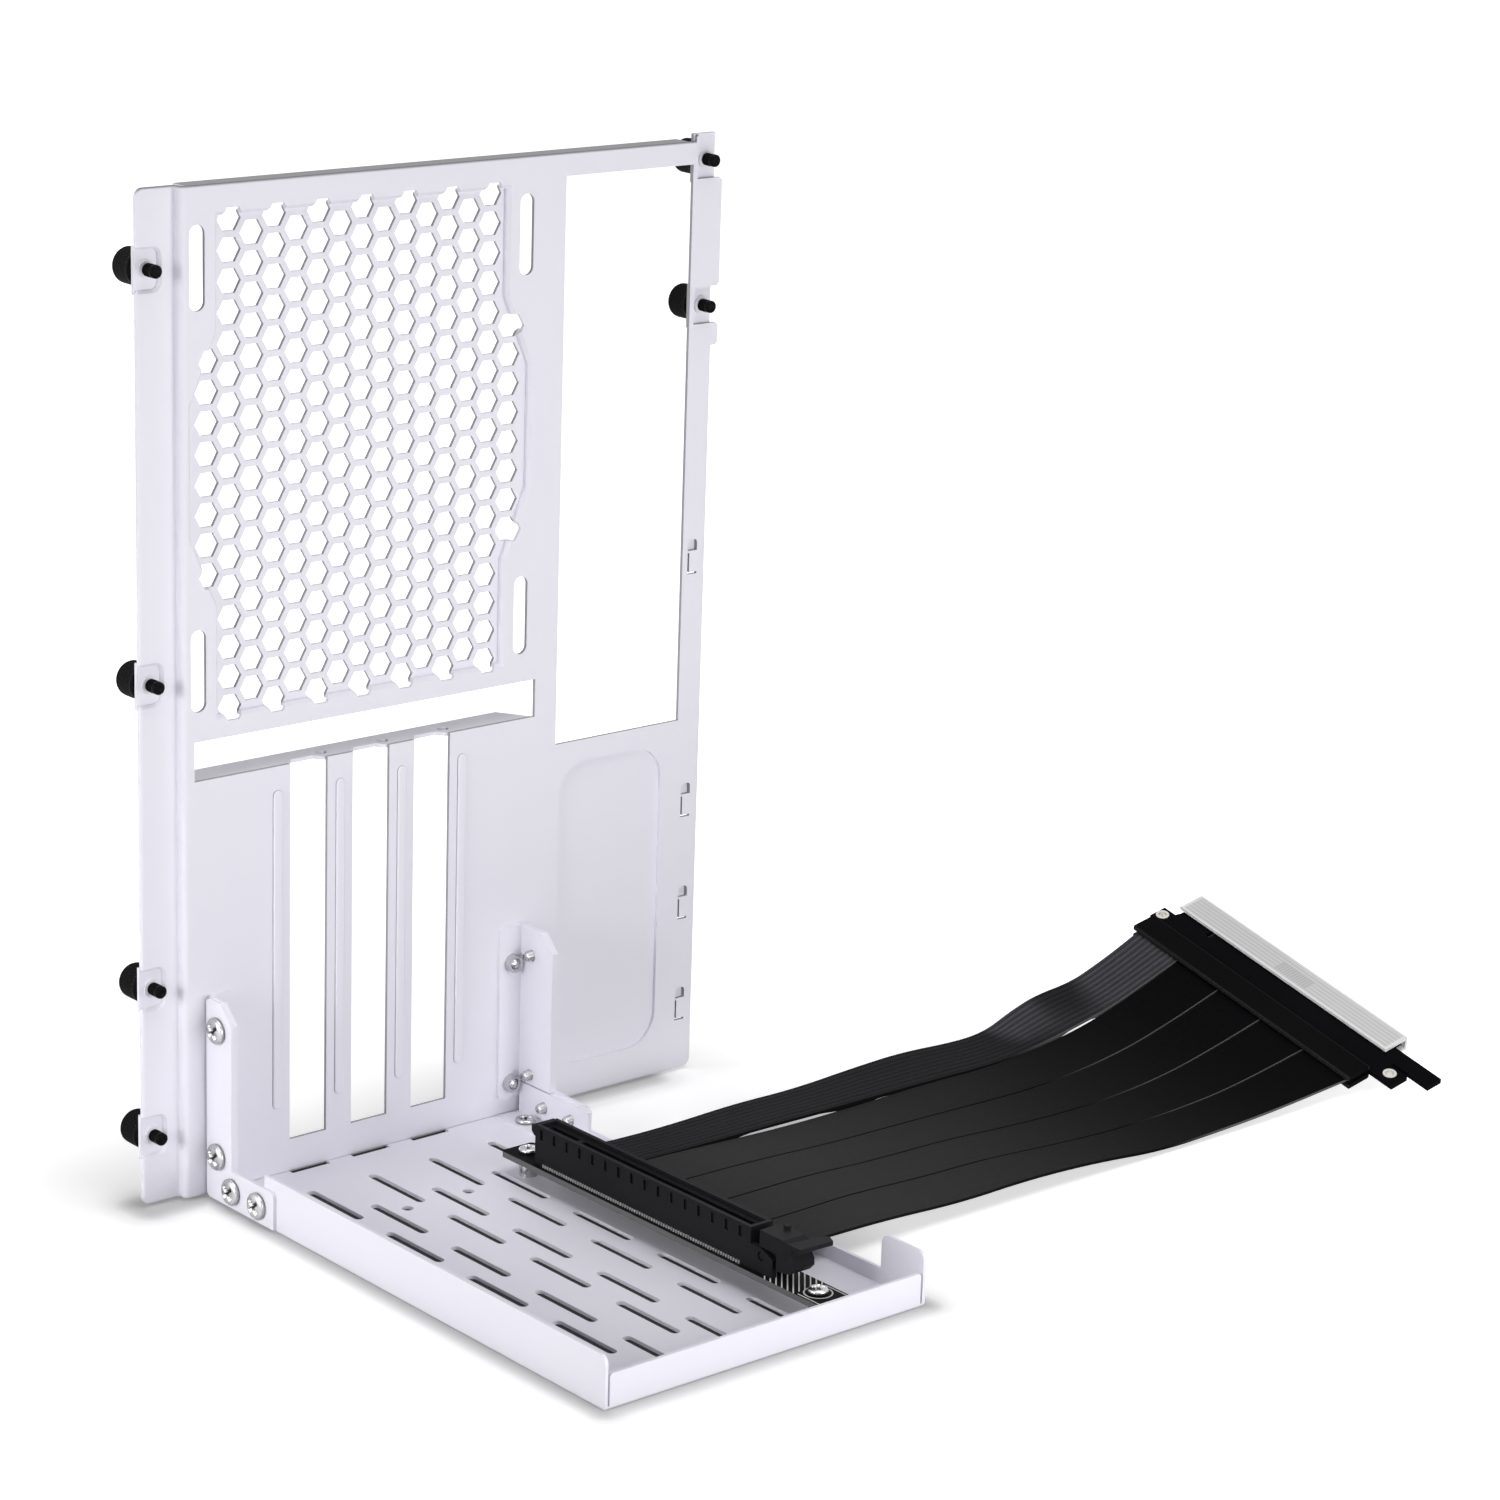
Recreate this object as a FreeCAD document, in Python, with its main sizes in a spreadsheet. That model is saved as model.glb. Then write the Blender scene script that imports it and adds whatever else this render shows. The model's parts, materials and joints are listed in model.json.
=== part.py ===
import FreeCAD, Part
import Sketcher
import os
from math import atan, cos, radians, sin, sqrt, tan

# Vertical graphics card mount, in millimetres.
# Origin: centre of the tray's underside. +X runs along the panel, +Y points to the panel, +Z is up.

SIZES = {
    # Sheet metal
    "sheet_gauge": 1.0,
    "bend_inside": 0.4,
    "corner_round": 2.5,
    "card_pitch": 20.32,
    # Tray
    "tray_width": 105.0,
    "tray_depth": 168.7,
    "left_wall_height": 14.4,
    "front_wall_height": 9.4,
    "right_wall_height": 5.2,
    "foot_wall_height": 10.2,
    "foot_wall_length": 32.5,
    "left_step_length": 26.0,
    "ear_height": 14.9,
    "ear_length": 15.8,
    "wall_rear_gap": 1.35,
    "corner_slit": 0.6,
    "floor_slot_length": 24.0,
    "floor_slot_width": 2.8,
    "floor_slot_step": 35.5,
    "floor_slot_first": 57.2,
    "floor_slot_shift": 8.1,
    "tongue_width": 12.4,
    "tongue_depth": 1.8,
    "raised_pad_width": 8.4,
    "raised_pad_length": 16.0,
    "raised_pad_rise": 0.5,
    # Rear panel, measured from its front face and its lower edge
    "panel_lift": 0.6,
    "panel_height": 271.4,
    "panel_left": -60.0,
    "panel_right": 115.9,
    "side_flange_width": 11.35,
    "side_flange_step": 3.0,
    "top_lip_depth": 6.5,
    "top_lip_end": 106.4,
    "strip_rise": 2.0,
    "strip_rise_start": 108.5,
    "tab_reach": 2.1,
    "tab_length": 6.3,
    "tab_corner": 0.8,
    "io_left": 63.1,
    "io_bottom": 106.4,
    "io_width": 44.45,
    "io_height": 158.75,
    "card_slot_width": 12.0,
    "card_slot_bottom": 9.6,
    "card_slot_notch": 3.4,
    "notch_chamfer": 2.4,
    "gap_left": -56.5,
    "gap_right": 55.5,
    "gap_bottom": 115.8,
    "gap_height": 10.7,
    "gap_flange_depth": 10.0,
    "gap_flange_taper": 6.0,
    "bracket_hole_radius": 1.6,
    "bracket_hole_offset": 7.0,
    "bracket_hole_setback": 4.6,
    "bead_width": 3.0,
    "bead_height": 0.6,
    "bead_bottom": 19.3,
    "bead_length": 90.0,
    "press_left": 64.6,
    "press_right": 101.8,
    "press_bottom": 10.1,
    "press_top": 100.3,
    "press_depth": 1.0,
    "press_corner": 10.0,
    # Fan opening
    "fan_x": -2.6,
    "fan_height": 198.0,
    "fan_hole_spacing": 105.0,
    "fan_slot_length": 22.0,
    "fan_slot_width": 4.6,
    "hex_pitch": 8.0,
    "hex_across": 6.3,
    "recess_depth": 2.0,
    "recess_bevel": 0.9,
    "recess_half_height": 65.3,
    "recess_half_narrow": 46.2,
    "recess_half_wide": 54.4,
    "recess_shoulder": 36.0,
    "recess_waist": 17.0,
    # Thumbscrew pads and thumbscrews
    "pad_half_height": 5.2,
    "pad_width": 7.0,
    "pad_step": 1.1,
    "pad_round": 2.0,
    "pad_bevel": 0.7,
    "left_screw_x": -67.4,
    "left_screw_1": 250.7,
    "left_screw_2": 142.9,
    "left_screw_3": 60.3,
    "left_screw_4": 19.1,
    "right_screw_x": 112.6,
    "right_screw_1": 266.2,
    "right_screw_2": 225.6,
    "thumb_hole_radius": 2.1,
    "thumb_neck_radius": 1.35,
    "thumb_neck_length": 1.0,
    "retainer_hole_radius": 1.7,
    "thumb_shank_radius": 1.75,
    "thumb_head_radius": 4.8,
    "thumb_head_length": 8.2,
    "thumb_rim": 0.6,
    "thumb_reach": 4.9,
    "thumb_point": 0.5,
    "thumb_gap": 0.4,
    "retainer_radius": 2.6,
    "retainer_gauge": 0.5,
    # Lanced hooks of the right strip
    "hook_left": 109.4,
    "hook_width": 3.4,
    "hook_window": 3.2,
    "hook_height": 10.0,
    "hook_slit": 0.6,
    "hook_press": 1.2,
    "hook_round": 1.1,
    # Brackets between panel and tray
    "plate_top": 56.8,
    "plate_bottom": 0.8,
    "left_plate_width": 12.2,
    "right_plate_width": 15.2,
    "plate_foot_top": 11.2,
    "plate_foot_length": 31.5,
    "plate_rear_gap": 0.5,
    "plate_chamfer": 5.2,
    "angle_leg_width": 8.3,
    "angle_bottom": 6.0,
    "angle_leg_bottom": 10.7,
    "angle_top": 57.0,
    "screw_shank_radius": 1.5,
    "screw_hole_radius": 1.6,
    "screw_head_radius": 3.6,
    "screw_head_height": 1.9,
    "screw_length": 4.2,
    "screw_point": 0.4,
    "cross_width": 0.9,
    "cross_length": 4.2,
    "cross_depth": 1.1,
    "upright_screw_setback": 5.8,
    "upright_screw_high": 49.0,
    "upright_screw_low": 13.4,
    "foot_screw_height": 5.6,
    "foot_screw_near": 12.6,
    "foot_screw_far": 24.6,
    "angle_screw_high": 46.2,
    "angle_screw_low": 10.4,
    "nut_radius": 2.6,
    "nut_height": 1.8,
    # Riser board and card socket
    "riser_x": 24.4,
    "board_width": 10.8,
    "board_gauge": 1.6,
    "board_rear": 49.3,
    "board_front": -82.6,
    "board_corner": 1.2,
    "standoff_height": 5.0,
    "standoff_radius": 2.5,
    "board_screw_rear": 44.0,
    "board_screw_front": -74.7,
    "board_head_radius": 2.7,
    "board_head_height": 1.7,
    "socket_length": 89.0,
    "socket_width": 7.5,
    "socket_height": 11.25,
    "socket_rear": 36.5,
    "socket_wall": 2.0,
    "socket_rim_width": 5.1,
    "socket_rim_depth": 1.2,
    "socket_groove_width": 2.0,
    "socket_groove_depth": 8.6,
    "socket_key_offset": 14.8,
    "socket_key_width": 1.9,
    "rib_count": 16,
    "rib_step": 5.48,
    "rib_first": 2.8,
    "rib_width": 1.3,
    "rib_depth": 0.6,
    "rib_low": 7.4,
    "rib_height": 2.9,
    "contact_count": 82,
    "contact_step": 1.0,
    "contact_width": 0.45,
    "contact_reach": 0.35,
    "contact_height": 0.8,
    "socket_lip": 1.6,
    "socket_lip_height": 3.3,
    "cheek_length": 8.6,
    "cheek_gauge": 1.6,
    "cheek_rise": 2.2,
    "cheek_end_rise": 0.4,
    # Card latch
    "latch_arm_width": 3.8,
    "latch_block_width": 7.1,
    "latch_underside": 2.5,
    "latch_top": 7.0,
    "latch_pivot_setback": 4.2,
    "latch_pivot_height": 4.6,
    "latch_pin_radius": 1.0,
    "latch_pin_hole": 1.3,
    "latch_paddle_gauge": 1.2,
    "latch_paddle_level": 5.4,
    "latch_pin_inset": 0.6,
    # Ribbon strips
    "strip_width": 17.2,
    "strip_spacing": 17.4,
    "strip_gauge": 1.0,
    "strip_middle_y": -4.15,
    # Plug at the ribbons' far end, in its own frame along the insertion direction
    "plug_x": 254.6,
    "plug_z": 15.8,
    "plug_roll": 14.0,
    "plug_pitch": 14.0,
    "cover_length": 91.7,
    "cover_width": 8.6,
    "cover_half_gauge": 1.5,
    "plug_board_start": 3.0,
    "plug_board_end": 25.4,
    "edge_length": 85.0,
    "edge_shoulder": 16.8,
    "key_offset": 12.9,
    "key_start": 15.4,
    "key_width": 1.9,
    "ear_hole_radius": 1.75,
    "eyelet_inner_radius": 1.25,
    "eyelet_outer_radius": 1.7,
    "eyelet_flange_radius": 2.05,
    "eyelet_flange": 0.35,
    "cap_start": 17.4,
    "cap_depth": 9.2,
    "cap_length": 87.4,
    "cap_half_gauge": 2.3,
    "cap_wall": 0.9,
}

# Heights of the four lanced hooks above the panel's lower edge
HOOK_TOPS = (158.9, 87.1, 56.1, 25.1)

# Ribbon stations along X, from the riser board's edge into the plug's mouth
STATIONS = (29.9, 52.0, 74.0, 100.0, 126.0, 152.0, 178.0, 204.0, 229.0, 256.0)
# Heights at the stations before the plug: front edge of the first strip, rear edge of the second,
# then the seams between the others and the front edge of the last
EDGE_HEIGHTS = (
    (6.8, 6.5, 6.2, 6.3, 5.9, 6.0, 5.2, 8.5, 13.6),
    (6.8, 6.5, 5.6, 4.7, 4.9, 5.6, 5.1, 7.4, 12.8),
    (6.8, 6.6, 6.1, 4.8, 4.5, 3.9, 3.4, 5.4, 10.0),
    (6.8, 6.6, 6.7, 5.3, 5.0, 3.3, 2.4, 3.5, 7.2),
    (6.8, 6.4, 7.0, 5.6, 5.2, 3.2, 2.0, 2.5, 4.6),
    (6.8, 6.8, 6.4, 4.8, 5.3, 4.1, 1.4, 1.9, 3.0),
)
# The rear edge of the first strip hangs in waves and has closer stations of its own
WAVE_STATIONS = (
    29.9, 54.0, 72.0, 94.0, 116.0, 139.0, 158.0, 180.0, 192.0, 202.0, 212.0, 227.0, 237.0, 247.0,
)
WAVE_HEIGHTS = (6.8, 6.1, 6.1, 7.0, 6.5, 7.9, 8.6, 7.2, 7.9, 12.0, 15.0, 16.2, 19.4, 23.1)

doc = FreeCAD.newDocument("vertical_card_mount")
sheet = doc.addObject("Spreadsheet::Sheet", "Sizes")
for row, (alias, number) in enumerate(SIZES.items(), start=1):
    sheet.set("A%d" % row, alias)
    sheet.set("B%d" % row, str(number))
    sheet.setAlias("B%d" % row, alias)
doc.recompute()

parts = []


class Size:
    """A length that knows its number and the sheet expression that gives it."""

    def __init__(self, number, text):
        self.number = number
        self.text = text

    def _join(self, other, sign, number):
        other = as_size(other)
        return Size(number(self.number, other.number), "(%s %s %s)" % (self.text, sign, other.text))

    def __add__(self, other):
        return self._join(other, "+", lambda a, b: a + b)

    def __radd__(self, other):
        return as_size(other) + self

    def __sub__(self, other):
        return self._join(other, "-", lambda a, b: a - b)

    def __rsub__(self, other):
        return as_size(other) - self

    def __mul__(self, other):
        return self._join(other, "*", lambda a, b: a * b)

    def __rmul__(self, other):
        return self * other

    def __truediv__(self, other):
        return self._join(other, "/", lambda a, b: a / b)

    def __neg__(self):
        return Size(-self.number, "(0 - %s)" % self.text)


def as_size(value):
    """Return value as a Size; a plain number stands for itself."""
    if isinstance(value, Size):
        return value
    return Size(float(value), "%.6f" % value)


def size(alias):
    """Return the Size held by a cell of the sheet."""
    return Size(float(sheet.get(alias)), "Sizes." + alias)


def bind(thing, name, value):
    """Bind a property of a document object to a Size."""
    thing.setExpression(name, as_size(value).text)


def place(thing, x=0, y=0, z=0):
    """Bind an object's position."""
    for axis, value in zip("xyz", (x, y, z)):
        bind(thing, ".Placement.Base." + axis, value)


def new_body(label, x=0, y=0, z=0, keep=True):
    """Return an empty body at a bound position; keep lists it as a part of the object."""
    body = doc.addObject("PartDesign::Body", label)
    body.Label = label
    place(body, x, y, z)
    if keep:
        parts.append(body)
    return body


def new_sketch(body, plane, name, level=0):
    """Return a sketch on one of the body's own planes, moved by level along +X, +Y or +Z."""
    sketch = body.newObject("Sketcher::SketchObject", name)
    origin_plane = next(f for f in body.Origin.OriginFeatures if f.Role == plane + "_Plane")
    sketch.AttachmentSupport = [(origin_plane, "")]
    sketch.MapMode = "FlatFace"
    along = -as_size(level) if plane == "XZ" else as_size(level)
    bind(sketch, ".AttachmentOffset.Base.z", along)
    return sketch


def pin_point(sketch, curve, end, x, y):
    """Tie a point of a curve to bound distances from the sketch's origin."""
    for kind, axis, value in (("DistanceX", -2, as_size(x)), ("DistanceY", -1, as_size(y))):
        if abs(value.number) < 1e-9:
            sketch.addConstraint(Sketcher.Constraint("PointOnObject", curve, end, axis))
        else:
            index = sketch.addConstraint(Sketcher.Constraint(kind, -1, 1, curve, end, value.number))
            bind(sketch, "Constraints[%d]" % index, value)


def outline(sketch, points):
    """Draw a closed outline of straight lines through bound points."""
    corners = [(as_size(x), as_size(y)) for x, y in points]
    first = sketch.GeometryCount
    for start, stop in zip(corners, corners[1:] + corners[:1]):
        ends = [FreeCAD.Vector(x.number, y.number, 0) for x, y in (start, stop)]
        sketch.addGeometry(Part.LineSegment(*ends))
    count = len(corners)
    for i in range(count):
        sketch.addConstraint(Sketcher.Constraint("Coincident", first + i, 2, first + (i + 1) % count, 1))
    for i, (x, y) in enumerate(corners):
        pin_point(sketch, first + i, 1, x, y)


def rectangle(sketch, left, right, low, high):
    """Draw an upright rectangle."""
    outline(sketch, [(left, low), (right, low), (right, high), (left, high)])


def circle(sketch, x, y, radius):
    """Draw a circle with bound centre and radius."""
    radius = as_size(radius)
    centre = FreeCAD.Vector(as_size(x).number, as_size(y).number, 0)
    curve = sketch.addGeometry(Part.Circle(centre, FreeCAD.Vector(0, 0, 1), radius.number))
    pin_point(sketch, curve, 3, x, y)
    index = sketch.addConstraint(Sketcher.Constraint("Radius", curve, radius.number))
    bind(sketch, "Constraints[%d]" % index, radius)


def upright_slot(sketch, x, y, length, width):
    """Draw a slot with round ends, its length along the sketch's second axis."""
    radius = as_size(width) / 2
    reach = (as_size(length) - width) / 2
    up = FreeCAD.Vector(0, 0, 1)
    middle_x, middle_y = as_size(x).number, as_size(y).number
    high = FreeCAD.Vector(middle_x, middle_y + reach.number, 0)
    low = FreeCAD.Vector(middle_x, middle_y - reach.number, 0)
    side = FreeCAD.Vector(radius.number, 0, 0)
    half_turn = radians(180)
    cap = sketch.addGeometry(Part.ArcOfCircle(Part.Circle(high, up, radius.number), 0, half_turn))
    left = sketch.addGeometry(Part.LineSegment(high - side, low - side))
    cup = sketch.addGeometry(Part.ArcOfCircle(Part.Circle(low, up, radius.number), half_turn, 2 * half_turn))
    right = sketch.addGeometry(Part.LineSegment(low + side, high + side))
    for one, other in ((cap, left), (left, cup), (cup, right), (right, cap)):
        sketch.addConstraint(Sketcher.Constraint("Tangent", one, 2, other, 1))
    pin_point(sketch, cap, 3, x, as_size(y) + reach)
    pin_point(sketch, cup, 3, x, as_size(y) - reach)
    index = sketch.addConstraint(Sketcher.Constraint("Radius", cap, radius.number))
    bind(sketch, "Constraints[%d]" % index, radius)


def pad(body, sketch, name, length, reverse=False, middle=False):
    """Extrude a sketch: along +X or +Z as drawn, along -Y on the XZ plane."""
    feature = body.newObject("PartDesign::Pad", name)
    feature.Profile = sketch
    bind(feature, "Length", length)
    feature.Reversed = reverse
    feature.Midplane = middle
    doc.recompute()
    return feature


def pocket(body, sketch, name, length, reverse=False, middle=False):
    """Cut a sketch out of the body: along -X or -Z as drawn, along +Y on the XZ plane."""
    before = body.Shape.Volume
    feature = body.newObject("PartDesign::Pocket", name)
    feature.Profile = sketch
    bind(feature, "Length", length)
    feature.Reversed = reverse
    feature.Midplane = middle
    doc.recompute()
    if not body.Shape.Volume < before - 1e-6:
        raise RuntimeError("%s cut nothing from %s" % (name, body.Label))
    return feature


def repeat(body, feature, name, across=None, along=None):
    """Repeat a feature over its sketch's axes; each of across and along is (step, count)."""
    pattern = body.newObject("PartDesign::LinearPattern", name)
    pattern.Originals = [feature]
    runs = [("H_Axis", across), ("V_Axis", along)]
    for suffix, (axis, run) in zip(("", "2"), [r for r in runs if r[1]]):
        setattr(pattern, "Direction" + suffix, (feature.Profile[0], [axis]))
        step, count = as_size(run[0]), as_size(run[1])
        setattr(pattern, "Mode" + suffix, "Extent")
        bind(pattern, "Length" + suffix, step * (count - 1))
        bind(pattern, "Occurrences" + suffix, count)
    body.Tip = pattern
    doc.recompute()
    return pattern


def round_edges(body, name, radius, chosen):
    """Fillet the edges of the body's tip that pass the test."""
    dress_edges(body, "Fillet", "Radius", name, radius, chosen)


def bevel_edges(body, name, width, chosen):
    """Chamfer the edges of the body's tip that pass the test."""
    dress_edges(body, "Chamfer", "Size", name, width, chosen)


def dress_edges(body, kind, measure, name, amount, chosen):
    """Fillet or chamfer edges; the test gets an edge's middle point and its end-to-end vector."""
    base = body.Tip
    names = []
    for number, edge in enumerate(base.Shape.Edges, start=1):
        middle = edge.valueAt((edge.FirstParameter + edge.LastParameter) / 2)
        ends = edge.Vertexes[-1].Point - edge.Vertexes[0].Point
        if chosen(middle, ends):
            names.append("Edge%d" % number)
    if not names:
        raise RuntimeError("%s found no edge" % name)
    feature = body.newObject("PartDesign::" + kind, name)
    feature.Base = (base, names)
    bind(feature, measure, amount)
    doc.recompute()
    if not feature.isValid() or len(feature.Shape.Solids) != 1:
        raise RuntimeError("%s failed on %s" % (name, body.Label))


def near(one, other, slack=0.02):
    """True when two numbers agree."""
    return abs(one - as_size(other).number) < slack


def runs_along(ends, axis):
    """True when an edge's end-to-end vector lies along the named axis."""
    return all(abs(getattr(ends, other)) < 1e-6 for other in "xyz" if other != axis)


def revolve(body, sketch, name):
    """Turn a half profile a full turn about the sketch's second axis."""
    feature = body.newObject("PartDesign::Revolution", name)
    feature.Profile = sketch
    feature.ReferenceAxis = (sketch, ["V_Axis"])
    feature.Angle = 360
    doc.recompute()
    return feature


def group_of(label, solid, placements):
    """Make one node of separate copies of a solid."""
    group = doc.addObject("Part::Feature", label)
    group.Label = label
    copies = []
    for placement in placements:
        copy = solid.copy()
        copy.Placement = placement
        copies.append(copy)
    group.Shape = Part.makeCompound(copies)
    parts.append(group)
    return group


gauge = size("sheet_gauge")
half_width = size("tray_width") / 2
half_depth = size("tray_depth") / 2
pitch = size("card_pitch")
panel_lift = size("panel_lift")
bend_outside = gauge + size("bend_inside")
OVERSHOOT = 2.0
STRAIGHT = radians(0.05)

left_screws = [size("left_screw_%d" % n) for n in (1, 2, 3, 4)]
right_screws = [size("right_screw_%d" % n) for n in (1, 2)]


def recess_outline(sketch, grow):
    """Draw the fan recess: tall and narrow, with a wider waist and slanted shoulders."""
    x, z = size("fan_x"), size("fan_height")
    narrow = size("recess_half_narrow") + grow
    wide = size("recess_half_wide") + grow
    tall = size("recess_half_height") + grow
    shoulder, waist = size("recess_shoulder") + grow, size("recess_waist") + grow
    right = [(narrow, -tall), (narrow, -shoulder), (wide, -waist)]
    right += [(wide, waist), (narrow, shoulder), (narrow, tall)]
    left = [(-dx, -dz) for dx, dz in right]
    outline(sketch, [(x + dx, z + dz) for dx, dz in right + left])


def build_rear_panel():
    """The folded sheet: flanges, lips, presses, openings and the fan honeycomb."""
    body = new_body("panel_blank", 0, half_depth, panel_lift, keep=False)
    left, right, height = size("panel_left"), size("panel_right"), size("panel_height")
    step = size("side_flange_step")
    outer = left - size("side_flange_width")

    section = new_sketch(body, "XY", "panel_section")
    outline(section, [
        (outer, step), (left, step), (left, 0), (right, 0),
        (right, gauge), (left + gauge, gauge), (left + gauge, step + gauge), (outer, step + gauge),
    ])
    pad(body, section, "panel_sheet", height)

    def outside_bend(middle, ends):
        front = near(middle.x, left) and near(middle.y, 0)
        rear = near(middle.x, left + gauge) and near(middle.y, step + gauge)
        return runs_along(ends, "z") and (front or rear)

    def inside_bend(middle, ends):
        front = near(middle.x, left) and near(middle.y, step)
        rear = near(middle.x, left + gauge) and near(middle.y, gauge)
        return runs_along(ends, "z") and (front or rear)

    round_edges(body, "joggle_outside", bend_outside, outside_bend)
    round_edges(body, "joggle_inside", size("bend_inside"), inside_bend)

    # Round the sheet's free corners
    def free_corner(middle, ends):
        at_left = near(middle.x, outer) and (near(middle.z, 0) or near(middle.z, height))
        at_right = near(middle.x, right) and near(middle.z, 0)
        return runs_along(ends, "y") and (at_left or at_right)

    round_edges(body, "sheet_corners", size("corner_round"), free_corner)

    # Tabs that widen the right strip between its pads, and its raised top end
    io_left, io_right = size("io_left"), size("io_left") + size("io_width")
    pad_half = size("pad_half_height")
    upper_pad_low = right_screws[0] - pad_half
    lower_pad_low = right_screws[1] - pad_half
    lower_pad_high = right_screws[1] + pad_half
    tabs = new_sketch(body, "XZ", "strip_tabs")
    reach, cut = size("tab_reach"), size("tab_corner")
    top = height + size("strip_rise")
    for low, high in ((lower_pad_high, upper_pad_low), (lower_pad_low - size("tab_length"), lower_pad_low)):
        outline(tabs, [
            (right - gauge, low), (right + reach - cut, low), (right + reach, low + cut),
            (right + reach, high - cut), (right + reach - cut, high), (right - gauge, high),
        ])
    rise_start = size("strip_rise_start")
    outline(tabs, [
        (rise_start, height - gauge), (right, height - gauge), (right, top - cut), (right - cut, top),
        (rise_start + cut, top), (rise_start, top - cut),
    ])
    pad(body, tabs, "strip_tab_sheet", gauge, reverse=True)

    # Top lip and the screw flange under the horizontal gap, both folded to the rear
    lip = new_sketch(body, "XY", "top_lip", height - gauge)
    rectangle(lip, left + gauge * 2, size("top_lip_end"), 0, size("top_lip_depth"))
    pad(body, lip, "top_lip_sheet", gauge)

    def lip_bend(middle, ends):
        at_top = near(middle.y, 0) and near(middle.z, height)
        return runs_along(ends, "x") and at_top and middle.x < size("top_lip_end").number

    round_edges(body, "top_lip_bend", gauge * 0.8, lip_bend)
    gap_left, gap_right, gap_low = size("gap_left"), size("gap_right"), size("gap_bottom")
    flange = new_sketch(body, "XY", "gap_flange", gap_low - gauge)
    depth, taper = size("gap_flange_depth"), size("gap_flange_taper")
    outline(flange, [(gap_left, 0), (gap_right, 0), (gap_right - taper, depth), (gap_left, depth)])
    pad(body, flange, "gap_flange_sheet", gauge)

    # Presses: each is a raised patch behind the sheet and a matching pocket in front
    pressed = size("recess_depth")
    behind = new_sketch(body, "XZ", "recess_back", gauge)
    recess_outline(behind, gauge)
    pad(body, behind, "recess_back_sheet", pressed, reverse=True)
    before = new_sketch(body, "XZ", "recess_front")
    recess_outline(before, 0)
    pocket(body, before, "recess_front_cut", pressed)

    def recess_rim(middle, ends):
        wide, tall = size("recess_half_wide").number, size("recess_half_height").number
        across = abs(middle.x - size("fan_x").number) < wide + OVERSHOOT
        upright = abs(middle.z - size("fan_height").number) < tall + OVERSHOOT
        at_rim = near(middle.y, 0) or near(middle.y, pressed + gauge)
        return across and upright and at_rim and ends.Length < wide * 2

    bevel_edges(body, "recess_rim_bevel", size("recess_bevel"), recess_rim)

    shallow = size("press_depth")
    frame = [size("press_left"), size("press_right"), size("press_bottom"), size("press_top")]
    behind = new_sketch(body, "XZ", "press_back", gauge)
    rectangle(behind, frame[0] - gauge, frame[1] + gauge, frame[2] - gauge, frame[3] + gauge)
    pad(body, behind, "press_back_sheet", shallow, reverse=True)
    before = new_sketch(body, "XZ", "press_front")
    rectangle(before, *frame)
    pocket(body, before, "press_front_cut", shallow)

    def press_corner(grow):
        def chosen(middle, ends):
            at_x = near(middle.x, frame[0] - grow) or near(middle.x, frame[1] + grow)
            at_z = near(middle.z, frame[2] - grow) or near(middle.z, frame[3] + grow)
            return runs_along(ends, "y") and at_x and at_z
        return chosen

    round_edges(body, "press_front_corners", size("press_corner"), press_corner(as_size(0)))
    round_edges(body, "press_back_corners", size("press_corner") + gauge, press_corner(gauge))

    # Thumbscrew pads of the left flange and of the right strip
    drop, inner = size("pad_step"), outer + size("pad_width")
    behind = new_sketch(body, "XZ", "left_pads_back", step + gauge)
    before = new_sketch(body, "XZ", "left_pads_front", step)
    for screw in left_screws:
        rectangle(behind, outer, inner + gauge, screw - pad_half - gauge, screw + pad_half + gauge)
        rectangle(before, outer - OVERSHOOT, inner, screw - pad_half, screw + pad_half)
    pad(body, behind, "left_pads_sheet", drop, reverse=True)
    pocket(body, before, "left_pads_cut", drop)

    def pad_corner(grow):
        def chosen(middle, ends):
            levels = [screw + side * (pad_half + grow) for screw in left_screws for side in (-1, 1)]
            at_level = any(near(middle.z, level) for level in levels)
            return runs_along(ends, "y") and near(middle.x, inner + grow) and at_level
        return chosen

    round_edges(body, "left_pad_front_corners", size("pad_round"), pad_corner(as_size(0)))
    round_edges(body, "left_pad_back_corners", size("pad_round") + gauge, pad_corner(gauge))

    def left_pad_rim(middle, ends):
        beside = any(abs(middle.z - screw.number) < pad_half.number + 0.1 for screw in left_screws)
        inside = outer.number + 0.1 < middle.x < inner.number + 0.1
        return near(middle.y, step) and beside and inside

    bevel_edges(body, "left_pad_rim_bevel", size("pad_bevel"), left_pad_rim)
    pad_left = io_right + gauge * 1.6
    behind = new_sketch(body, "XZ", "right_pads_back", gauge)
    rectangle(behind, pad_left - gauge, right, upper_pad_low - gauge, top)
    rectangle(behind, pad_left - gauge, right, lower_pad_low - gauge, lower_pad_high + gauge)
    pad(body, behind, "right_pads_sheet", drop, reverse=True)
    before = new_sketch(body, "XZ", "right_pads_front")
    rectangle(before, pad_left, right + reach + OVERSHOOT, upper_pad_low, top + OVERSHOOT)
    rectangle(before, pad_left, right + reach + OVERSHOOT, lower_pad_low, lower_pad_high)
    pocket(body, before, "right_pads_cut", drop)

    # Openings cut through the sheet
    openings = new_sketch(body, "XZ", "openings")
    rectangle(openings, io_left, io_right, size("io_bottom"), size("io_bottom") + size("io_height"))
    rectangle(openings, gap_left, gap_right, gap_low, gap_low + size("gap_height"))
    spread = size("fan_hole_spacing") / 2
    for side in (-1, 1):
        for level in (-1, 1):
            slot_x, slot_z = size("fan_x") + side * spread, size("fan_height") + level * spread
            upright_slot(openings, slot_x, slot_z, size("fan_slot_length"), size("fan_slot_width"))
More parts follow.
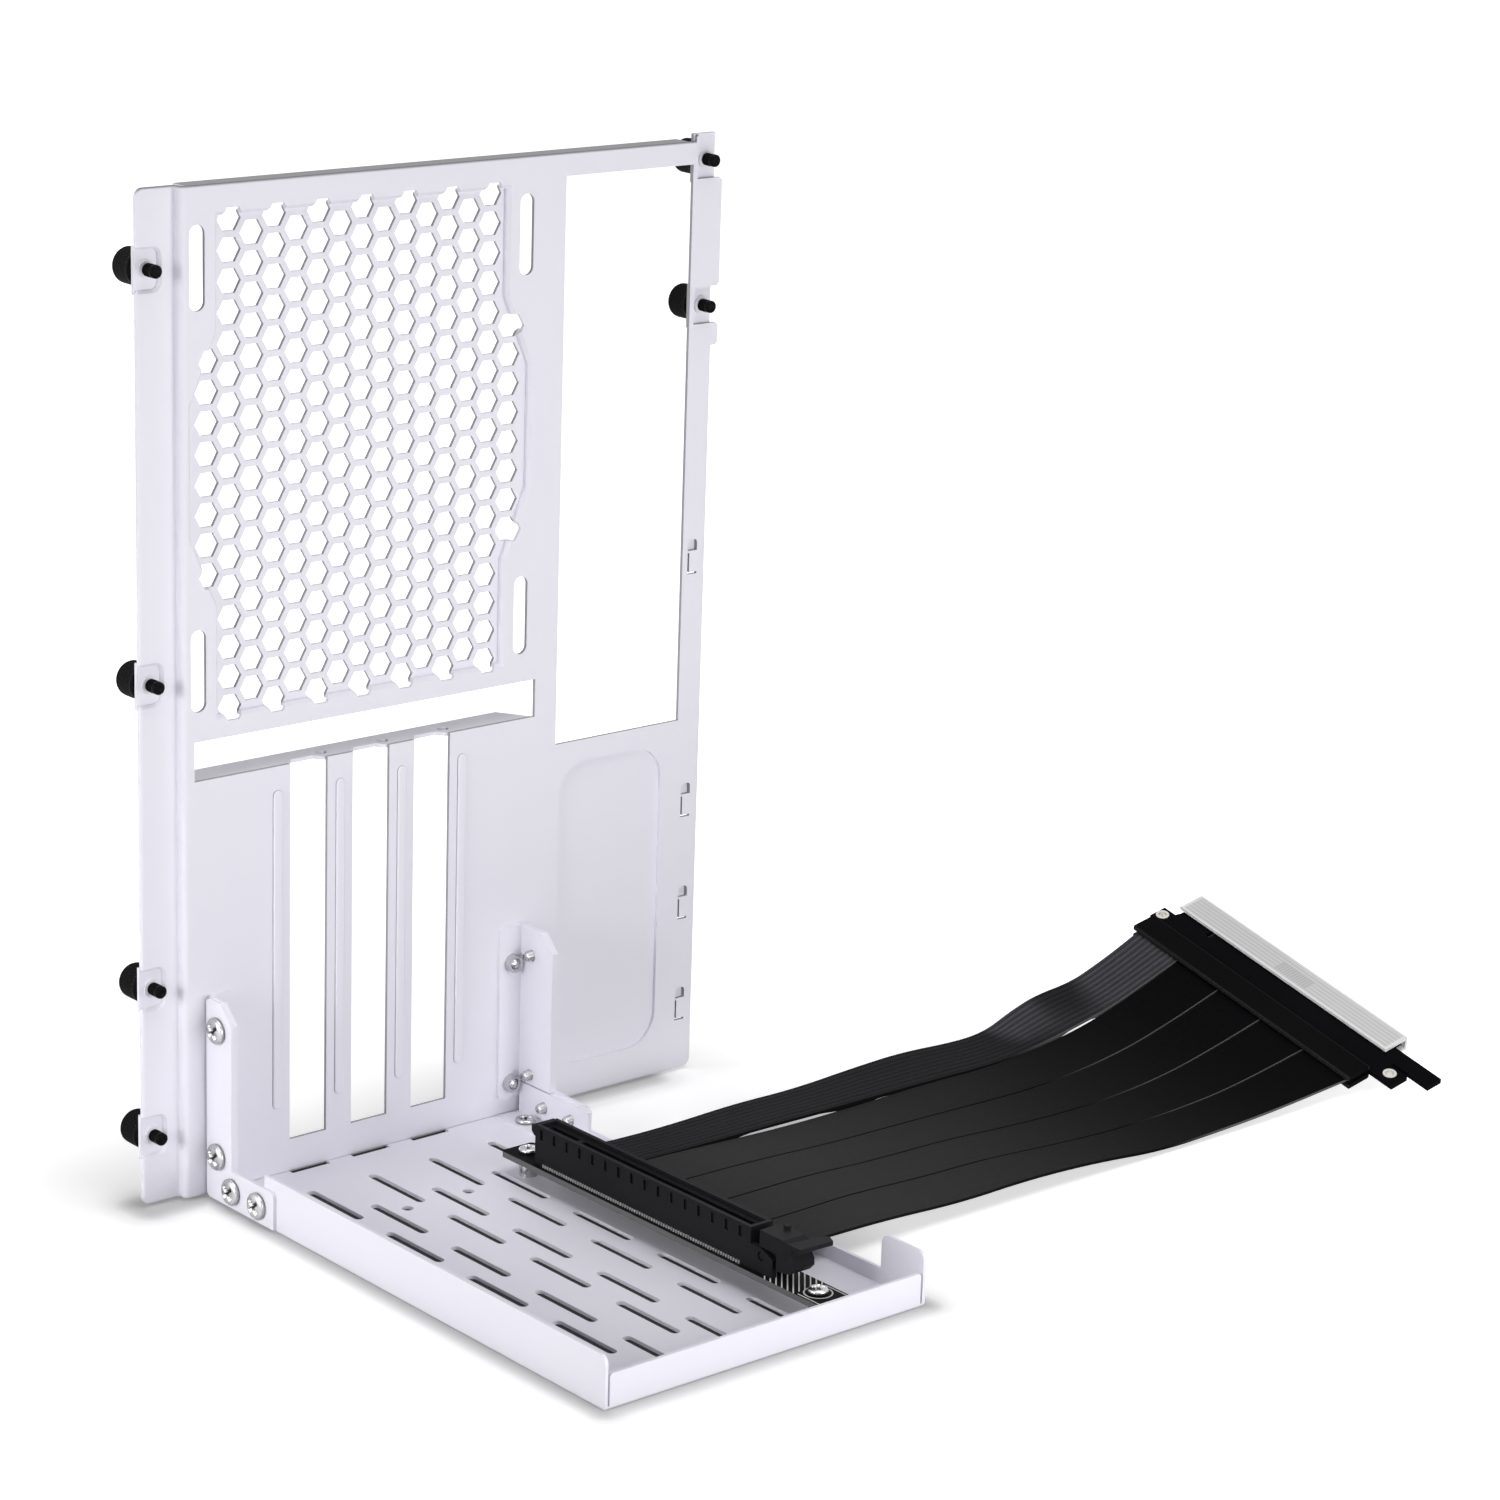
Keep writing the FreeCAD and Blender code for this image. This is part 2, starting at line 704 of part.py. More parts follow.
    # Lanced hooks: a slit round each tongue's left and lower side, and a blind press at its root
    x0, x1, slit = size("hook_left"), size("hook_left") + size("hook_width"), size("hook_slit")
    behind = new_sketch(body, "XZ", "hooks_back", gauge)
    before = new_sketch(body, "XZ", "hooks_front")
    wall = gauge * 0.6
    for hook_top in HOOK_TOPS:
        low, sill = hook_top - size("hook_height"), hook_top - size("hook_window")
        outline(openings, [
            (x0, sill - slit), (x0, low), (x1, low), (x1, low + slit),
            (x0 + slit, low + slit), (x0 + slit, sill - slit),
        ])
        rectangle(behind, x0 - wall, x1 + wall, sill - wall, hook_top + wall)
        rectangle(before, x0, x1, sill, hook_top)
    pad(body, behind, "hooks_back_sheet", size("hook_press"), reverse=True)
    pocket(body, before, "hooks_front_cut", size("hook_press"))

    def hook_corner(middle, ends):
        at_side = near(middle.x, x0) or near(middle.x, x1)
        return runs_along(ends, "y") and at_side and any(near(middle.z, hook_top) for hook_top in HOOK_TOPS)

    round_edges(body, "hook_corners", size("hook_round"), hook_corner)
    pocket(body, openings, "openings_cut", gauge + pressed)

    slots = new_sketch(body, "XZ", "card_slots")
    half_slot = size("card_slot_width") / 2
    rectangle(slots, -pitch - half_slot, -pitch + half_slot, size("card_slot_bottom"), gap_low + gauge / 2)
    first = pocket(body, slots, "card_slot_cut", gauge)
    repeat(body, first, "card_slot_row", across=(pitch, 3))
    notches = new_sketch(body, "XY", "flange_notches", gap_low)
    notch, narrow = size("card_slot_notch"), half_slot - size("notch_chamfer")
    corners = [(-half_slot, 0), (half_slot, 0), (narrow, notch), (-narrow, notch)]
    outline(notches, [(dx - pitch, dy) for dx, dy in corners])
    first = pocket(body, notches, "flange_notch_cut", gauge * 1.5)
    repeat(body, first, "flange_notch_row", across=(pitch, 3))

    # Stiffening beads beside the card slots, raised in front and hollow behind
    bead_middle, bead_rise = size("bead_bottom") + size("bead_length") / 2, size("bead_height")
    bead_length, bead_width = size("bead_length"), size("bead_width")
    front = new_sketch(body, "XZ", "beads_front")
    hollow = new_sketch(body, "XZ", "beads_back", gauge)
    for place_number in (-1.5, -0.5, 0.5, 1.5):
        upright_slot(front, pitch * place_number, bead_middle, bead_length, bead_width)
        upright_slot(hollow, pitch * place_number, bead_middle, bead_length - gauge, bead_width - gauge)
    pad(body, front, "beads_front_sheet", bead_rise)
    round_edges(body, "beads_front_round", bead_rise * 0.9, lambda middle, ends: near(middle.y, -bead_rise))
    pocket(body, hollow, "beads_back_cut", bead_rise, reverse=True)

    # Holes for thumbscrews, angle screws and card bracket screws
    holes = new_sketch(body, "XZ", "screw_holes")
    for screw in left_screws:
        circle(holes, size("left_screw_x"), screw, size("thumb_hole_radius"))
    for screw in right_screws:
        circle(holes, size("right_screw_x"), screw, size("thumb_hole_radius"))
    for side in (-1, 1):
        for level in ("angle_screw_high", "angle_screw_low"):
            circle(holes, side * angle_hole_x(), size(level) - panel_lift, size("screw_hole_radius"))
    pocket(body, holes, "screw_hole_cut", step + drop + gauge * 2)
    brackets = new_sketch(body, "XY", "bracket_holes", gap_low)
    hole_x = size("bracket_hole_offset") - pitch
    circle(brackets, hole_x, size("bracket_hole_setback"), size("bracket_hole_radius"))
    first = pocket(body, brackets, "bracket_hole_cut", gauge * 2)
    repeat(body, first, "bracket_hole_row", across=(pitch, 3))

    panel = doc.addObject("Part::Cut", "rear_panel")
    panel.Label = "rear_panel"
    panel.Base = body
    panel.Tool = build_honeycomb_punch()
    doc.recompute()
    parts.append(panel)


def build_honeycomb_punch():
    """Three grids of flat-topped hexagons: long columns, columns half a step off, and short outer ones."""
    punch = new_body("honeycomb_punch", 0, half_depth, panel_lift, keep=False)
    punch.AllowCompound = True
    step = size("hex_pitch")
    column = step * (sqrt(3) / 2)
    half = size("hex_across") / 2
    corner = half * (2 / sqrt(3))
    x, z = size("fan_x"), size("fan_height")
    grids = (
        ("long", 6, 8.0, column * 2, 7, 17),
        ("offset", 5, 7.5, column * 2, 6, 16),
        ("outer", 7, 3.5, column * 14, 2, 8),
    )
    for name, columns_left, rows_down, across, columns, rows in grids:
        centre_x = x - column * columns_left
        centre_z = z - step * rows_down
        sketch = new_sketch(punch, "XZ", name + "_hexagon", -OVERSHOOT)
        corners = [(corner, 0), (corner / 2, half), (-corner / 2, half)]
        corners += [(-corner, 0), (-corner / 2, -half), (corner / 2, -half)]
        outline(sketch, [(centre_x + dx, centre_z + dz) for dx, dz in corners])
        reach = size("recess_depth") + gauge + 2 * OVERSHOOT
        first = pad(punch, sketch, name + "_hexagon_pin", reach, reverse=True)
        repeat(punch, first, name + "_hexagon_grid", (across, columns), (step, rows))
    return punch


def angle_hole_x():
    """Distance of the angles' panel screws from the middle plane."""
    return half_width - size("angle_leg_width") / 2


def build_tray():
    """The folded tray: floor, three walls, slots and holes."""
    body = new_body("tray")
    floor = new_sketch(body, "XY", "floor")
    rectangle(floor, -half_width, half_width, -half_depth, half_depth)
    pad(body, floor, "floor_sheet", gauge)

    rear = half_depth - size("wall_rear_gap")
    foot_start, foot_high = half_depth - size("foot_wall_length"), size("foot_wall_height")
    left_step = half_depth - size("left_step_length")
    left_high = size("left_wall_height")
    wall = new_sketch(body, "YZ", "left_wall", -half_width)
    outline(wall, [
        (-half_depth, 0), (rear, 0), (rear, foot_high),
        (left_step, foot_high), (left_step, left_high), (-half_depth, left_high),
    ])
    pad(body, wall, "left_wall_sheet", gauge)

    ear_end, ear_high, low = size("ear_length") - half_depth, size("ear_height"), size("right_wall_height")
    wall = new_sketch(body, "YZ", "right_wall", half_width - gauge)
    outline(wall, [
        (-half_depth, 0), (rear, 0), (rear, foot_high), (foot_start, foot_high),
        (foot_start, low), (ear_end, low), (ear_end, ear_high), (-half_depth, ear_high),
    ])
    pad(body, wall, "right_wall_sheet", gauge)

    slit = size("corner_slit")
    wall = new_sketch(body, "XZ", "front_wall", -half_depth)
    rectangle(wall, gauge + slit - half_width, half_width - gauge - slit, 0, size("front_wall_height"))
    pad(body, wall, "front_wall_sheet", gauge, reverse=True)

    raised = new_sketch(body, "XY", "raised_pad", gauge)
    pad_end = half_depth - size("tongue_depth")
    pad_side = half_width - gauge
    pad_edge, pad_start = pad_side - size("raised_pad_width"), pad_end - size("raised_pad_length")
    rectangle(raised, pad_edge, pad_side, pad_start, pad_end)
    pad(body, raised, "raised_pad_sheet", size("raised_pad_rise"))

    # Long slots in a brick pattern: four columns in step with the cards, three shifted half a step
    step, shift = size("floor_slot_step"), size("floor_slot_shift")
    first_y = size("floor_slot_first")
    brick = (("slots", 0, first_y, 4), ("shifted_slots", shift, first_y - step / 2, 3))
    for name, offset, start, columns in brick:
        sketch = new_sketch(body, "XY", name, gauge)
        last = start - step * 3
        upright_slot(sketch, offset - pitch * 1.5, last, size("floor_slot_length"), size("floor_slot_width"))
        first = pocket(body, sketch, name + "_cut", gauge * 2)
        repeat(body, first, name + "_grid", (pitch, columns), (step, 4))

    slits = new_sketch(body, "XY", "tongue_slits", gauge)
    half = size("tongue_width") / 2
    rectangle(slits, -pitch - half, half - pitch, half_depth - size("tongue_depth"), half_depth + OVERSHOOT)
    first = pocket(body, slits, "tongue_cut", gauge * 2)
    repeat(body, first, "tongue_row", across=(pitch, 3))

    holes = new_sketch(body, "XY", "riser_holes", gauge)
    for y in (size("board_screw_rear"), size("board_screw_front")):
        for place_number in (0, 1, 2):
            circle(holes, size("riser_x") - pitch * place_number, y, size("screw_hole_radius"))
    pocket(body, holes, "riser_hole_cut", gauge * 2)
    holes = new_sketch(body, "XY", "corner_hole", gauge * 2)
    circle(holes, corner_screw_x(), corner_screw_y(), size("screw_hole_radius"))
    pocket(body, holes, "corner_hole_cut", gauge * 4)
    side_holes = new_sketch(body, "YZ", "foot_holes")
    for setback in ("foot_screw_near", "foot_screw_far"):
        circle(side_holes, half_depth - size(setback), size("foot_screw_height"), size("screw_hole_radius"))
    pocket(body, side_holes, "foot_hole_cut", half_width * 2 + OVERSHOOT, middle=True)

    def wall_corner(middle, ends):
        front = near(middle.y, -half_depth) and (near(middle.z, left_high) or near(middle.z, ear_high))
        ear_back = near(middle.y, ear_end) and near(middle.z, ear_high)
        return runs_along(ends, "x") and (front or ear_back)

    round_edges(body, "wall_corners", size("corner_round"), wall_corner)

    def front_corner(middle, ends):
        at_top = near(middle.z, size("front_wall_height"))
        return runs_along(ends, "y") and at_top and near(middle.y, gauge / 2 - half_depth)

    round_edges(body, "front_wall_corners", gauge, front_corner)

    def lower_bend(middle, ends):
        side = near(abs(middle.x), half_width) and runs_along(ends, "y")
        front = near(middle.y, -half_depth) and runs_along(ends, "x")
        return near(middle.z, 0) and (side or front) and ends.Length > half_width.number

    round_edges(body, "floor_bends", gauge * 0.8, lower_bend)
    return body


def corner_screw_x():
    """X of the screw in the tray's raised corner pad."""
    return half_width - gauge - size("raised_pad_width") / 2


def corner_screw_y():
    """Y of the screw in the tray's raised corner pad."""
    return half_depth - size("tongue_depth") - size("raised_pad_length") / 2


def build_angle(label, side, width):
    """Folded angle: one leg on the panel, one leg along the side plate."""
    body = new_body(label)
    outer = half_width * side
    inner = outer - gauge * side
    tip = outer - size("angle_leg_width") * side
    front = half_depth - width
    low, high = size("angle_bottom"), size("angle_top")
    section = new_sketch(body, "XY", label + "_section", low)
    outline(section, [
        (tip, half_depth), (outer, half_depth), (outer, front),
        (inner, front), (inner, half_depth - gauge), (tip, half_depth - gauge),
    ])
    pad(body, section, label + "_sheet", high - low)

    chamfer, trim = size("plate_chamfer"), size("angle_leg_bottom")
    cuts = new_sketch(body, "YZ", label + "_trim")
    outline(cuts, [(front, high), (front + chamfer, high), (front, high - chamfer)])
    rectangle(cuts, front, half_depth - gauge, low, trim)
    for level in ("upright_screw_high", "upright_screw_low"):
        circle(cuts, half_depth - size("upright_screw_setback"), size(level), size("screw_hole_radius"))
    pocket(body, cuts, label + "_trim_cut", half_width * 2 + OVERSHOOT, middle=True)
    holes = new_sketch(body, "XZ", label + "_holes", half_depth - gauge * 2)
    for level in ("angle_screw_high", "angle_screw_low"):
        circle(holes, angle_hole_x() * side, size(level), size("screw_hole_radius"))
    pocket(body, holes, label + "_hole_cut", gauge * 3)

    def fold(middle, ends):
        return runs_along(ends, "z") and near(middle.x, outer) and near(middle.y, half_depth)

    def leg_corner(middle, ends):
        at_end = near(middle.z, low) or near(middle.z, high)
        return runs_along(ends, "y") and near(middle.x, tip) and at_end

    round_edges(body, label + "_fold", gauge, fold)
    round_edges(body, label + "_corners", gauge * 1.5, leg_corner)
    return body


def build_side_plate(label, side, width):
    """Flat L plate outside the tray wall and the angle."""
    body = new_body(label)
    face = half_width if side > 0 else -half_width - gauge
    rear = half_depth - size("plate_rear_gap")
    front, foot_end = half_depth - width, half_depth - size("plate_foot_length")
    low, high, foot = size("plate_bottom"), size("plate_top"), size("plate_foot_top")
    chamfer = size("plate_chamfer")
    sketch = new_sketch(body, "YZ", label + "_outline", face)
    outline(sketch, [
        (rear, low), (rear, high), (front + chamfer, high), (front, high - chamfer),
        (front, foot), (foot_end, foot), (foot_end, low),
    ])
    pad(body, sketch, label + "_sheet", gauge)
    holes = new_sketch(body, "YZ", label + "_holes")
    for y, z in plate_screw_places():
        circle(holes, y, z, size("screw_hole_radius"))
    pocket(body, holes, label + "_hole_cut", half_width * 2 + OVERSHOOT * 2, middle=True)

    def corner(middle, ends):
        at_rear = near(middle.y, rear) and (near(middle.z, low) or near(middle.z, high))
        at_foot = near(middle.y, foot_end) and near(middle.z, foot)
        return runs_along(ends, "x") and (at_rear or at_foot)

    round_edges(body, label + "_corners", gauge * 1.5, corner)
    return body


def plate_screw_places():
    """The four screw places of a side plate, as Y and Z."""
    upright = half_depth - size("upright_screw_setback")
    foot = size("foot_screw_height")
    return [
        (upright, size("upright_screw_high")),
        (upright, size("upright_screw_low")),
        (half_depth - size("foot_screw_near"), foot),
        (half_depth - size("foot_screw_far"), foot),
    ]


def build_screw(label, head_radius, head_height, length):
    """A pan-head screw with a cross recess, its seat at the origin and its head along +Z."""
    body = new_body(label, keep=False)
    profile = new_sketch(body, "XZ", label + "_profile")
    shank, point = size("screw_shank_radius"), size("screw_point")
    outline(profile, [
        (0, -length), (shank - point, -length), (shank, point - length), (shank, 0), (head_radius, 0),
        (head_radius, head_height * 0.5), (head_radius * 0.72, head_height), (0, head_height),
    ])
    revolve(body, profile, label + "_turned")
    half = size("cross_width") / 2
    reach = size("cross_length") / 2 * (head_radius / size("screw_head_radius"))
    cross = new_sketch(body, "XY", label + "_cross", head_height)
    outline(cross, [
        (reach, -half), (reach, half), (half, half), (half, reach), (-half, reach), (-half, half),
        (-reach, half), (-reach, -half), (-half, -half), (-half, -reach), (half, -reach), (half, -half),
    ])
    pocket(body, cross, label + "_cross_cut", size("cross_depth"))
    return body


def build_screws():
    """Plate screws, angle screws with clinch nuts, the corner screw and the board screws."""
    head_radius, head_height = size("screw_head_radius"), size("screw_head_height")
    screw = build_screw("pan_screw", head_radius, head_height, size("screw_length")).Shape
    width, depth, thick = half_width.number, half_depth.number, gauge.number
    turn = FreeCAD.Rotation
    outward = {-1: turn(FreeCAD.Vector(0, 1, 0), -90), 1: turn(FreeCAD.Vector(0, 1, 0), 90)}
    for side, name in ((-1, "left"), (1, "right")):
        spots = []
        for y, z in plate_screw_places():
            spot = FreeCAD.Vector(side * (width + thick), y.number, z.number)
            spots.append(FreeCAD.Placement(spot, outward[side]))
        group_of(name + "_plate_screws", screw, spots)

    # Angle screws come from behind the panel and end in clinch nuts on the angles
    rearward = turn(FreeCAD.Vector(1, 0, 0), -90)
    nut = Part.makeCylinder(size("nut_radius").number, size("nut_height").number)
    nut = nut.cut(Part.makeCylinder(size("screw_hole_radius").number, size("nut_height").number))
    screw_spots, nut_spots = [], []
    for side in (-1, 1):
        for level in ("angle_screw_high", "angle_screw_low"):
            x, z = side * angle_hole_x().number, size(level).number
            screw_spots.append(FreeCAD.Placement(FreeCAD.Vector(x, depth + thick, z), rearward))
            front = FreeCAD.Vector(x, depth - thick - size("nut_height").number, z)
            nut_spots.append(FreeCAD.Placement(front, rearward))
    group_of("angle_screws", screw, screw_spots)
    group_of("angle_nuts", nut, nut_spots)

    corner = build_screw("corner_pan_screw", head_radius * 0.8, head_height * 0.8, gauge * 1.4).Shape
    seat = thick + size("raised_pad_rise").number
    spot = FreeCAD.Vector(corner_screw_x().number, corner_screw_y().number, seat)
    group_of("tray_corner_screw", corner, [FreeCAD.Placement(spot, turn())])

    length = size("board_gauge") + size("standoff_height") * 0.6
    head_radius, head_height = size("board_head_radius"), size("board_head_height")
    small = build_screw("board_pan_screw", head_radius, head_height, length).Shape
    top = board_top().number
    spots = []
    for y in (size("board_screw_rear"), size("board_screw_front")):
        spots.append(FreeCAD.Placement(FreeCAD.Vector(size("riser_x").number, y.number, top), turn()))
    group_of("board_screws", small, spots)


def board_top():
    """Height of the riser board's upper face."""
    return gauge + size("standoff_height") + size("board_gauge")


def build_thumbscrew(label, x, seat_y, z):
    """A captive thumbscrew: head behind its pad, thread through it, pointing to the front."""
    body = new_body(label, x, half_depth + seat_y, z + panel_lift)
    profile = new_sketch(body, "XY", label + "_profile")
    shank, neck, head = size("thumb_shank_radius"), size("thumb_neck_radius"), size("thumb_head_radius")
    collar = -size("thumb_neck_length")
    seat = gauge + size("thumb_gap")
    end = seat + size("thumb_head_length")
    tip, point, rim = -size("thumb_reach"), size("thumb_point"), size("thumb_rim")
    outline(profile, [
        (0, tip), (shank - point, tip), (shank, tip + point), (shank, collar), (neck, collar), (neck, seat),
        (head - rim * 2, seat), (head, seat + rim), (head, end - rim), (head - rim, end), (0, end),
    ])
    revolve(body, profile, label + "_turned")
    return body


def build_thumbscrews():
    """Four thumbscrews on the left flange, two on the right strip, and their retaining rings."""
    left_seat = size("side_flange_step") + size("pad_step")
    right_seat = size("pad_step")
    rows = [("left", size("left_screw_x"), left_seat, left_screws)]
    rows.append(("right", size("right_screw_x"), right_seat, right_screws))
    hole = size("retainer_hole_radius").number
    ring_gauge = size("retainer_gauge").number
    ring = Part.makeCylinder(size("retainer_radius").number, ring_gauge)
    ring = ring.cut(Part.makeCylinder(hole, ring_gauge))
    forward = FreeCAD.Rotation(FreeCAD.Vector(1, 0, 0), 90)
    rings = []
    for name, x, seat, screws in rows:
        for number, z in enumerate(screws, start=1):
            build_thumbscrew("thumbscrew_%s_%d" % (name, number), x, seat, z)
            spot = FreeCAD.Vector(x.number, (half_depth + seat).number, (z + panel_lift).number)
            rings.append(FreeCAD.Placement(spot, forward))
    group_of("thumbscrew_retainers", ring, rings)


def build_riser_board():
    """The narrow circuit board under the card socket, on two standoffs."""
    bottom = gauge + size("standoff_height")
    body = new_body("riser_board", size("riser_x"), 0, bottom)
    half = size("board_width") / 2
    sketch = new_sketch(body, "XY", "board_outline")
    rectangle(sketch, -half, half, size("board_front"), size("board_rear"))
    pad(body, sketch, "board_sheet", size("board_gauge"))
    holes = new_sketch(body, "XY", "board_holes", size("board_gauge"))
    for y in (size("board_screw_rear"), size("board_screw_front")):
        circle(holes, 0, y, size("screw_hole_radius"))
    pocket(body, holes, "board_hole_cut", size("board_gauge") * 2)

    def corner(middle, ends):
        return runs_along(ends, "z") and near(abs(middle.x), half)

    round_edges(body, "board_corners", size("board_corner"), corner)

    height = size("standoff_height").number
    post = Part.makeCylinder(size("standoff_radius").number, height)
    post = post.cut(Part.makeCylinder(size("screw_hole_radius").number, height))
    spots = []
    for y in (size("board_screw_rear"), size("board_screw_front")):
        spot = FreeCAD.Vector(size("riser_x").number, y.number, gauge.number)
        spots.append(FreeCAD.Placement(spot, FreeCAD.Rotation()))
    group_of("board_standoffs", post, spots)


def build_slot_housing():
    """The long card socket: groove with a key, ribbed sides and two cheeks for the latch."""
    body = new_body("slot_housing", size("riser_x"), 0, board_top())
    half, height = size("socket_width") / 2, size("socket_height")
    rear, front = size("socket_rear"), size("socket_rear") - size("socket_length")
    sketch = new_sketch(body, "XY", "socket_outline")
    rectangle(sketch, -half, half, front, rear)
    pad(body, sketch, "socket_block", height)

    lip, lip_low = size("socket_lip"), height - size("socket_lip_height")
    sketch = new_sketch(body, "XY", "rear_lip", lip_low)
    rectangle(sketch, -half, half, rear, rear + lip)
    pad(body, sketch, "rear_lip_block", size("socket_lip_height") - gauge / 2)

    def lip_underside(middle, ends):
        return runs_along(ends, "x") and near(middle.y, rear + lip) and near(middle.z, lip_low)

    bevel_edges(body, "rear_lip_bevel", lip * 0.7, lip_underside)

    pivot_y, pivot_z = front - size("latch_pivot_setback"), size("latch_pivot_height")
    cheek_end, cheek = front - size("cheek_length"), size("cheek_gauge")
    high, low_end = pivot_z + size("cheek_rise"), pivot_z + size("cheek_end_rise")
    for name, level in (("left_cheek", -half), ("right_cheek", half - cheek)):
        sketch = new_sketch(body, "YZ", name, level)
        outline(sketch, [(front, 0), (front, high), (pivot_y, high), (cheek_end, low_end), (cheek_end, 0)])
        pad(body, sketch, name + "_block", cheek)

    wall = size("socket_wall")
    rim = new_sketch(body, "XY", "rim", height)
    half_rim = size("socket_rim_width") / 2
    rectangle(rim, -half_rim, half_rim, front + wall * 0.6, rear - wall * 0.6)
    pocket(body, rim, "rim_cut", size("socket_rim_depth"))
    groove = new_sketch(body, "XY", "groove", height)
    half_groove, half_key = size("socket_groove_width") / 2, size("socket_key_width") / 2
    key = rear - size("socket_key_offset")
    rectangle(groove, -half_groove, half_groove, front + wall, key - half_key)
    rectangle(groove, -half_groove, half_groove, key + half_key, rear - wall)
    pocket(body, groove, "groove_cut", size("socket_groove_depth"))

    last = rear - size("rib_first") - size("rib_step") * (size("rib_count") - 1)
    half_rib, low = size("rib_width") / 2, size("rib_low")
    for side, name in ((-1, "left"), (1, "right")):
        ribs = new_sketch(body, "YZ", name + "_ribs", half * side)
        rectangle(ribs, last - half_rib, last + half_rib, low, low + size("rib_height"))
        first = pocket(body, ribs, name + "_rib_cut", size("rib_depth"), reverse=side < 0)
        repeat(body, first, name + "_rib_row", across=(size("rib_step"), size("rib_count")))

    pivot = new_sketch(body, "YZ", "pivot_holes")
    circle(pivot, pivot_y, pivot_z, size("latch_pin_hole"))
    pocket(body, pivot, "pivot_cut", half * 2 + OVERSHOOT, middle=True)
    return body


def build_slot_contacts():
    """Solder tails of the socket's contacts, in a row along each side of its foot."""
    count = int(size("contact_count").number)
    step, height = size("contact_step").number, size("contact_height").number
    width, reach = size("contact_width").number, size("contact_reach").number
    half = size("socket_width").number / 2
    middle = size("socket_rear").number - size("socket_length").number / 2
    tail = Part.makeBox(reach, width, height)
    spots = []
    for side in (-1, 1):
        x = size("riser_x").number + side * half - (reach if side < 0 else 0)
        for number in range(count):
            y = middle + (number - (count - 1) / 2) * step - width / 2
            spots.append(FreeCAD.Placement(FreeCAD.Vector(x, y, board_top().number), FreeCAD.Rotation()))
    group_of("slot_contacts", tail, spots)


# Outlines of the card latch, from its pivot: arm and blunt front seen from the side, paddle seen from above
LATCH_ARM = ((1.6, -1.8), (1.6, 3.0), (-6.0, 3.0), (-6.0, -1.8), (-3.0, -2.4))
LATCH_FRONT = (
    (-8.0, 7.0), (-11.2, 6.2), (-11.2, 3.4), (-12.3, 2.0), (-12.3, 0.2), (-10.8, -1.4), (-5.6, -2.2),
)
LATCH_BACK = 0.9
PADDLE = ((-3.5, -9.5), (7.6, -11.2), (8.4, -12.4), (7.2, -15.0), (-3.5, -14.4))
NUB_LEFT, NUB_RIGHT, NUB_FRONT, NUB_BACK = 2.0, 3.4, -3.2, -1.8


def build_slot_latch():
    """The card lock: a narrow arm on a pivot pin, a wide block over the cheeks, a paddle and a nub."""
    front = size("socket_rear") - size("socket_length")
    pivot_y = front - size("latch_pivot_setback")
    pivot_z = board_top() + size("latch_pivot_height")
    body = new_body("slot_latch", size("riser_x"), pivot_y, pivot_z)
    sketch = new_sketch(body, "YZ", "latch_arm")
    outline(sketch, LATCH_ARM)
    pad(body, sketch, "latch_arm_block", size("latch_arm_width"), middle=True)
    under, top = size("latch_underside"), size("latch_top")
    sketch = new_sketch(body, "YZ", "latch_block")
    front_end = LATCH_FRONT[-1][0]
    outline(sketch, [(LATCH_BACK, under), (LATCH_BACK, top)] + list(LATCH_FRONT) + [(front_end, under)])
    pad(body, sketch, "latch_wide_block", size("latch_block_width"), middle=True)
    sketch = new_sketch(body, "XY", "latch_paddle", size("latch_paddle_level"))
    outline(sketch, PADDLE)
    pad(body, sketch, "latch_paddle_block", size("latch_paddle_gauge"))
    sketch = new_sketch(body, "XY", "latch_nub", top - gauge / 2)
    rectangle(sketch, NUB_LEFT, NUB_RIGHT, NUB_FRONT, NUB_BACK)
    pad(body, sketch, "latch_nub_block", gauge * 1.4)
    pin = new_sketch(body, "YZ", "latch_pin")
    circle(pin, 0, 0, size("latch_pin_radius"))
    pad(body, pin, "latch_pin_block", size("socket_width") - size("latch_pin_inset"), middle=True)
    return body


def plug_placement(x=0, y=0, z=0):
    """Place something that is drawn in the plug's frame."""
    roll = FreeCAD.Rotation(FreeCAD.Vector(1, 0, 0), size("plug_roll").number)
    pitch_up = FreeCAD.Rotation(FreeCAD.Vector(0, 1, 0), -size("plug_pitch").number)
    spot = FreeCAD.Vector(size("plug_x").number, size("strip_middle_y").number, size("plug_z").number)
    return FreeCAD.Placement(spot, roll * pitch_up).multiply(
        FreeCAD.Placement(FreeCAD.Vector(x, y, z), FreeCAD.Rotation()))


def new_plug_body(label):
    """Return an empty body in the plug's frame."""
    body = new_body(label, size("plug_x"), size("strip_middle_y"), size("plug_z"))
    body.Placement = plug_placement()
    return body


# Outline of the plug's board: two ears with a hole each, and a hook past the front end of the cap
EAR_REAR, EAR_FRONT = 47.8, -55.0
EAR_REAR_LOW, EAR_LOW, EAR_HIGH = 8.8, 8.4, 14.9
EAR_HOLES = ((11.7, 45.4), (11.7, -51.0))
HOOK_LOW, HOOK_HIGH, HOOK_END = 16.2, 21.8, -62.0
COVERED, HOOK_SETBACK, EAR_STEP = 2.0, 2.4, 0.6


